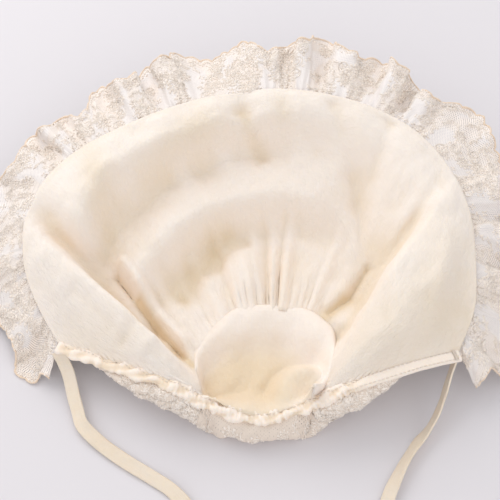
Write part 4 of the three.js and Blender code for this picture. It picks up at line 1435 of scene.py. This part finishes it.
class BONNET_OT_casing(bpy.types.Operator):
    """Adds the ruched casing along the neck edge, with its stitches"""

    bl_idname = "bonnet.casing"
    bl_label = "Neck casing"
    bl_options = {"REGISTER", "UNDO"}

    def execute(self, context):
        sizes, colours = settings(context)
        material = cream_lawn(colours)
        stations, sides = 800, 24
        shares = np.linspace(0.004, 0.996, stations)
        line = casing_line(sizes, shares)
        tangent = unit(np.gradient(line, axis=0))
        out = unit(np.cross(tangent, (0, 0, 1.0)))
        lift = unit(np.cross(out, tangent))
        run = arc_lengths(line)[:, None]
        angle = np.linspace(0, 2 * math.pi, sides, endpoint=False)[None, :]
        ruched = ((1 - ramp(0.7, 0.8, shares)) * ramp(0.0, 0.02, shares))[:, None]
        swell = casing_swell(run, angle, shares, ruched)
        sway = 0.5 * ripples(run, 0 * run, 14, 49) * ruched
        centre = line + out * (CASING_REACH + sway) + lift * 0.2
        wide = (CASING_HALF_WIDTH + swell) * blunted(np.cos(angle), 0.35 * (1 - ruched))
        thick = (CASING_HALF_HEIGHT + 0.45 * ruched + swell) * blunted(np.sin(angle), 0.1 * (1 - ruched))
        rings = centre[:, None, :] + out[:, None, :] * wide[..., None]
        rings = rings + lift[:, None, :] * thick[..., None]
        # Painted shade in the hollows between the casing's puckers
        painted_shade = np.clip(0.25 - swell, 0, 0.6) * ruched
        marks = {"Painted shade": painted_shade[:, ::-1]}
        piece = tube_object("neck_casing_cloth", centre, rings[:, ::-1], material, 18.0, marks)
        placed(piece, "lining", "neck_casing")
        # The thread colour gives the painted highlight on the stitches' ribs and the cord colour the
        # painted shade between them
        thread = thread_material("Sewing thread", tuple(colours.thread), tuple(colours.cord), 0.4)
        for name, place, first in (("inner", 8, 12), ("outer", 4, int(0.7 * stations))):
            spots = rings[:, place] + lift * 0.12
            name = f"casing_stitches_{name}"
            seam = stitches_object(name, spots[first:-12], lift[first:-12], 2.1, 1.5, 0.24, thread)
            placed(seam, "lining")
        corner = rings[-16:-8, 6].mean(axis=0) + lift[-12] * 0.2
        bar = np.stack([corner - out[-12] * 2.6, corner + out[-12] * 2.6])
        upward = np.stack([lift[-12], lift[-12]])
        tack = stitches_object("casing_bar_tack", bar, upward, 0.42, 2.4, 0.25, thread, 1.5)
        placed(tack, "lining")
        return {"FINISHED"}


def stitches_object(name, line, up, pitch, length, radius, material, skew=0.0):
    """Short stitches along a line, each a small closed lens."""
    lengths = arc_lengths(line)
    count = int(lengths[-1] / pitch)
    random = np.random.default_rng(count)
    where = (np.arange(count) + 0.5 + random.uniform(-0.08, 0.08, count)) * lengths[-1] / count

    def at(values, place):
        """The line's values at lengths along it."""
        return np.stack([np.interp(place, lengths, values[:, k]) for k in range(3)], axis=-1)

    middle = at(line, where)
    way = unit(at(line, where + 0.4) - at(line, where - 0.4))
    lift = unit(at(up, where))
    side = np.cross(lift, way)
    way = way * math.cos(skew) + side * math.sin(skew)
    side = np.cross(lift, way)
    turn = np.arange(8) * math.pi / 4
    ring = middle[:, None] + way[:, None] * (0.5 * length * np.cos(turn))[None, :, None]
    ring = ring + side[:, None] * (radius * np.sin(turn))[None, :, None]
    top, bottom = middle + lift * radius, middle - lift * radius
    points = np.concatenate([ring, top[:, None], bottom[:, None]], axis=1)
    uv = np.stack([np.cos(turn) * length, np.sin(turn)], axis=-1)
    uv = np.tile(np.concatenate([uv, [[0, 0], [0, 0]]]), (count, 1))
    return mesh_object(name, points.reshape(-1, 3), lens_faces(count), material, uv)


def ruffle(u, w, sizes):
    """The lace ruffle's surface. u runs along the face edge, w from it to the free edge."""
    u, w = np.broadcast_arrays(np.asarray(u, float), np.asarray(w, float))
    rim = face_edge(u)
    ahead, behind = face_edge(np.minimum(1, u + 0.004)), face_edge(np.maximum(0, u - 0.004))
    tangent = ahead - behind
    tangent[..., 2] = 0
    tangent = unit(tangent)
    out = np.stack([-tangent[..., 1], tangent[..., 0], 0 * u], axis=-1)
    out = unit(out + tangent * read("ruffle", "sweep", u)[..., None])
    droop = read("ruffle", "droop", u)
    turn = 2 * math.pi * sizes.flutes * u
    turn = turn + 2.4 * np.sin(2 * math.pi * 3.3 * u) + 1.3 * np.sin(2 * math.pi * 7.1 * u + 1)
    swell = 1 + 0.3 * np.sin(2 * math.pi * 4.7 * u + 2) + 0.3 * np.sin(2 * math.pi * 9.3 * u)
    height = sizes.flute_height * swell * w**0.8
    ends = 1 - 0.26 * (1 - ramp(0, 0.06, u)) - 0.24 * ramp(0.93, 1, u)
    uneven = 0.08 * np.sin(2 * math.pi * 5.3 * u + 1) + 0.09 * np.sin(2 * math.pi * 12.7 * u)
    run = sizes.ruffle_width * w * ends * (1 + uneven)
    wave = np.sin(turn) + 0.22 * np.sin(2 * turn + 0.8)
    small = 0.8 * np.sin(2.6 * turn + 1.1 + 2 * w) * w + 0.45 * (1 - w) * np.sin(5.3 * turn)
    x, y = u * 520, w * 31
    flap = 1.3 * ripples(x, y, 13, 51, 0.8) * w + 0.5 * ripples(x, y, 6, 53) * w
    crook = -0.24 * height * np.sin(2 * turn + 0.4 * w) + 1.2 * ripples(x, y, 24, 55) * w
    reach = -0.6 + run * np.cos(droop) * (1 - 0.14 * w * wave)
    place = rim + out * reach[..., None] + tangent * crook[..., None]
    place[..., 2] += -run * np.sin(droop) + height * wave + small + flap - 0.9 * (1 - w) ** 3
    low = place[..., 2] - (0.7 + 0.5 * (1 + np.sin(turn)) * w)
    place[..., 2] -= np.where(low < 3, np.minimum(low, 3) - 3 * np.exp(np.minimum(low, 3) / 3 - 1), 0)
    return place


# The bearings of a scallop's petals
FAN_BEARINGS = (0.25, 0.78, 1.31, 1.83, 2.36, 2.89)


def cord_rings(line, u):
    """Rings of the uneven cord along the scalloped edge."""
    tangent = unit(np.gradient(line, axis=0))
    side = unit(np.cross(tangent, (0, 0, 1.0)))
    lift = unit(np.cross(side, tangent))
    angle = np.linspace(0, 2 * math.pi, 6, endpoint=False)[None, ::-1, None]
    girth = (0.5 + 0.16 * ripples(u * LACE_RUN, 0 * u, 2.4, 67))[:, None, None]
    around = side[:, None, :] * np.cos(angle) + lift[:, None, :] * np.sin(angle)
    return line[:, None, :] + girth * around


class BONNET_OT_ruffle(bpy.types.Operator):
    """Adds the gathered lace ruffle round the face edge, with its embroidery and corded scallops"""

    bl_idname = "bonnet.ruffle"
    bl_label = "Lace ruffle"
    bl_options = {"REGISTER", "UNDO"}

    def execute(self, context):
        sizes, colours = settings(context)
        material = lace_material("Lace", tuple(colours.net), tuple(colours.fill), 0.52, 0.5)
        thread = satin_stitch(colours)
        u, w = (np.linspace(0, 1, cuts) for cuts in RUFFLE_CUTS)
        scallop = abs(np.sin(math.pi * u * LACE_RUN / sizes.scallop))
        edge = 1 - 0.05 * (1 - scallop**0.7)
        depth = sizes.ruffle_width
        cloth = Cloth(ruffle(u[:, None], w[None, :], sizes))
        cut = w[None, :] * edge[:, None]
        grid = ruffle(u[:, None], cut, sizes)
        uv = np.stack([u[:, None] * LACE_RUN + 0 * cut, cut * depth], axis=-1)

        def density(x, y):
            return 0.6 + 0.6 * ripples(x, y, 27, 61, 0.8) + 0.3 * ramp(0.6 * depth, depth, y)

        dense = ramp(0.35, 0.75, density(uv[..., 0], uv[..., 1]))
        marks = {"Dense": np.maximum(dense, ramp(0.86, 0.97, w)[None, :])}
        over, under = grid - cloth.up * 0.1, grid + cloth.up * 0.1
        net = wall_object("lace_ruffle_net", over, under, material, uv, marks)
        placed(net, "lace", "lace_ruffle")
        motifs = scattered(LACE_RUN, 0.9 * depth, 7.6, density, 63, 3.0)
        size = (LACE_RUN, depth)
        petals = embroidery_object("lace_ruffle_embroidery", cloth, motifs, size, thread, 1.0)
        placed(petals, "lace")
        petal_fan = [(3.0 * math.cos(a), 2.7 * math.sin(a), a, 1.1, 0.72) for a in FAN_BEARINGS]
        petal_fan.append((0, 0.2, 0, 0.8, 0.6))
        count = round(LACE_RUN / sizes.scallop)
        owners = [((k + 0.5) / count, 0.87) for k in range(count) for _ in petal_fan]
        fans = np.array(petal_fan * count), np.array(owners), []
        fan = stitched_object("lace_ruffle_scallops", cloth, *fans, thread, 0.8)
        placed(fan, "lace")
        # A lighter copy of the cord's colour: the painted highlight on the cord's ribs
        light = tuple(min(1, 1.2 * c) for c in colours.cord)
        cord = thread_material("Edge cord", light, tuple(colours.cord), 0.9)
        edging = tube_object("lace_ruffle_cord", grid[:, -1], cord_rings(grid[:, -1], u), cord)
        placed(edging, "lace")
        return {"FINISHED"}


class BONNET_PT_pieces(bpy.types.Panel):
    """Lists the bonnet's pieces, sizes and colours"""

    bl_label = "Lace bonnet"
    bl_space_type = "VIEW_3D"
    bl_region_type = "UI"
    bl_category = "Bonnet"

    def draw(self, context):
        for operator in OPERATORS:
            self.layout.operator(operator.bl_idname)
        for group in (context.scene.bonnet_sizes, context.scene.bonnet_colours):
            box = self.layout.box()
            for name in group.__annotations__:
                box.prop(group, name)


OPERATORS = (
    BONNET_OT_stage,
    BONNET_OT_ties,
    BONNET_OT_lining,
    BONNET_OT_shell,
    BONNET_OT_casing,
    BONNET_OT_ruffle,
)
CLASSES = (BonnetSizes, BonnetColours, *OPERATORS, BONNET_PT_pieces)


def register():
    """Adds the classes and the scene's sizes and colours."""
    for item in CLASSES:
        bpy.utils.register_class(item)
    bpy.types.Scene.bonnet_sizes = PointerProperty(type=BonnetSizes)
    bpy.types.Scene.bonnet_colours = PointerProperty(type=BonnetColours)


def unregister():
    """Takes them away again."""
    del bpy.types.Scene.bonnet_colours
    del bpy.types.Scene.bonnet_sizes
    for item in reversed(CLASSES):
        bpy.utils.unregister_class(item)


def main():
    """Builds the stage and every piece."""
    register()
    bpy.ops.bonnet.stage()
    bpy.ops.bonnet.ties()
    bpy.ops.bonnet.lining()
    bpy.ops.bonnet.shell()
    bpy.ops.bonnet.casing()
    bpy.ops.bonnet.ruffle()


if __name__ == "__main__":
    main()
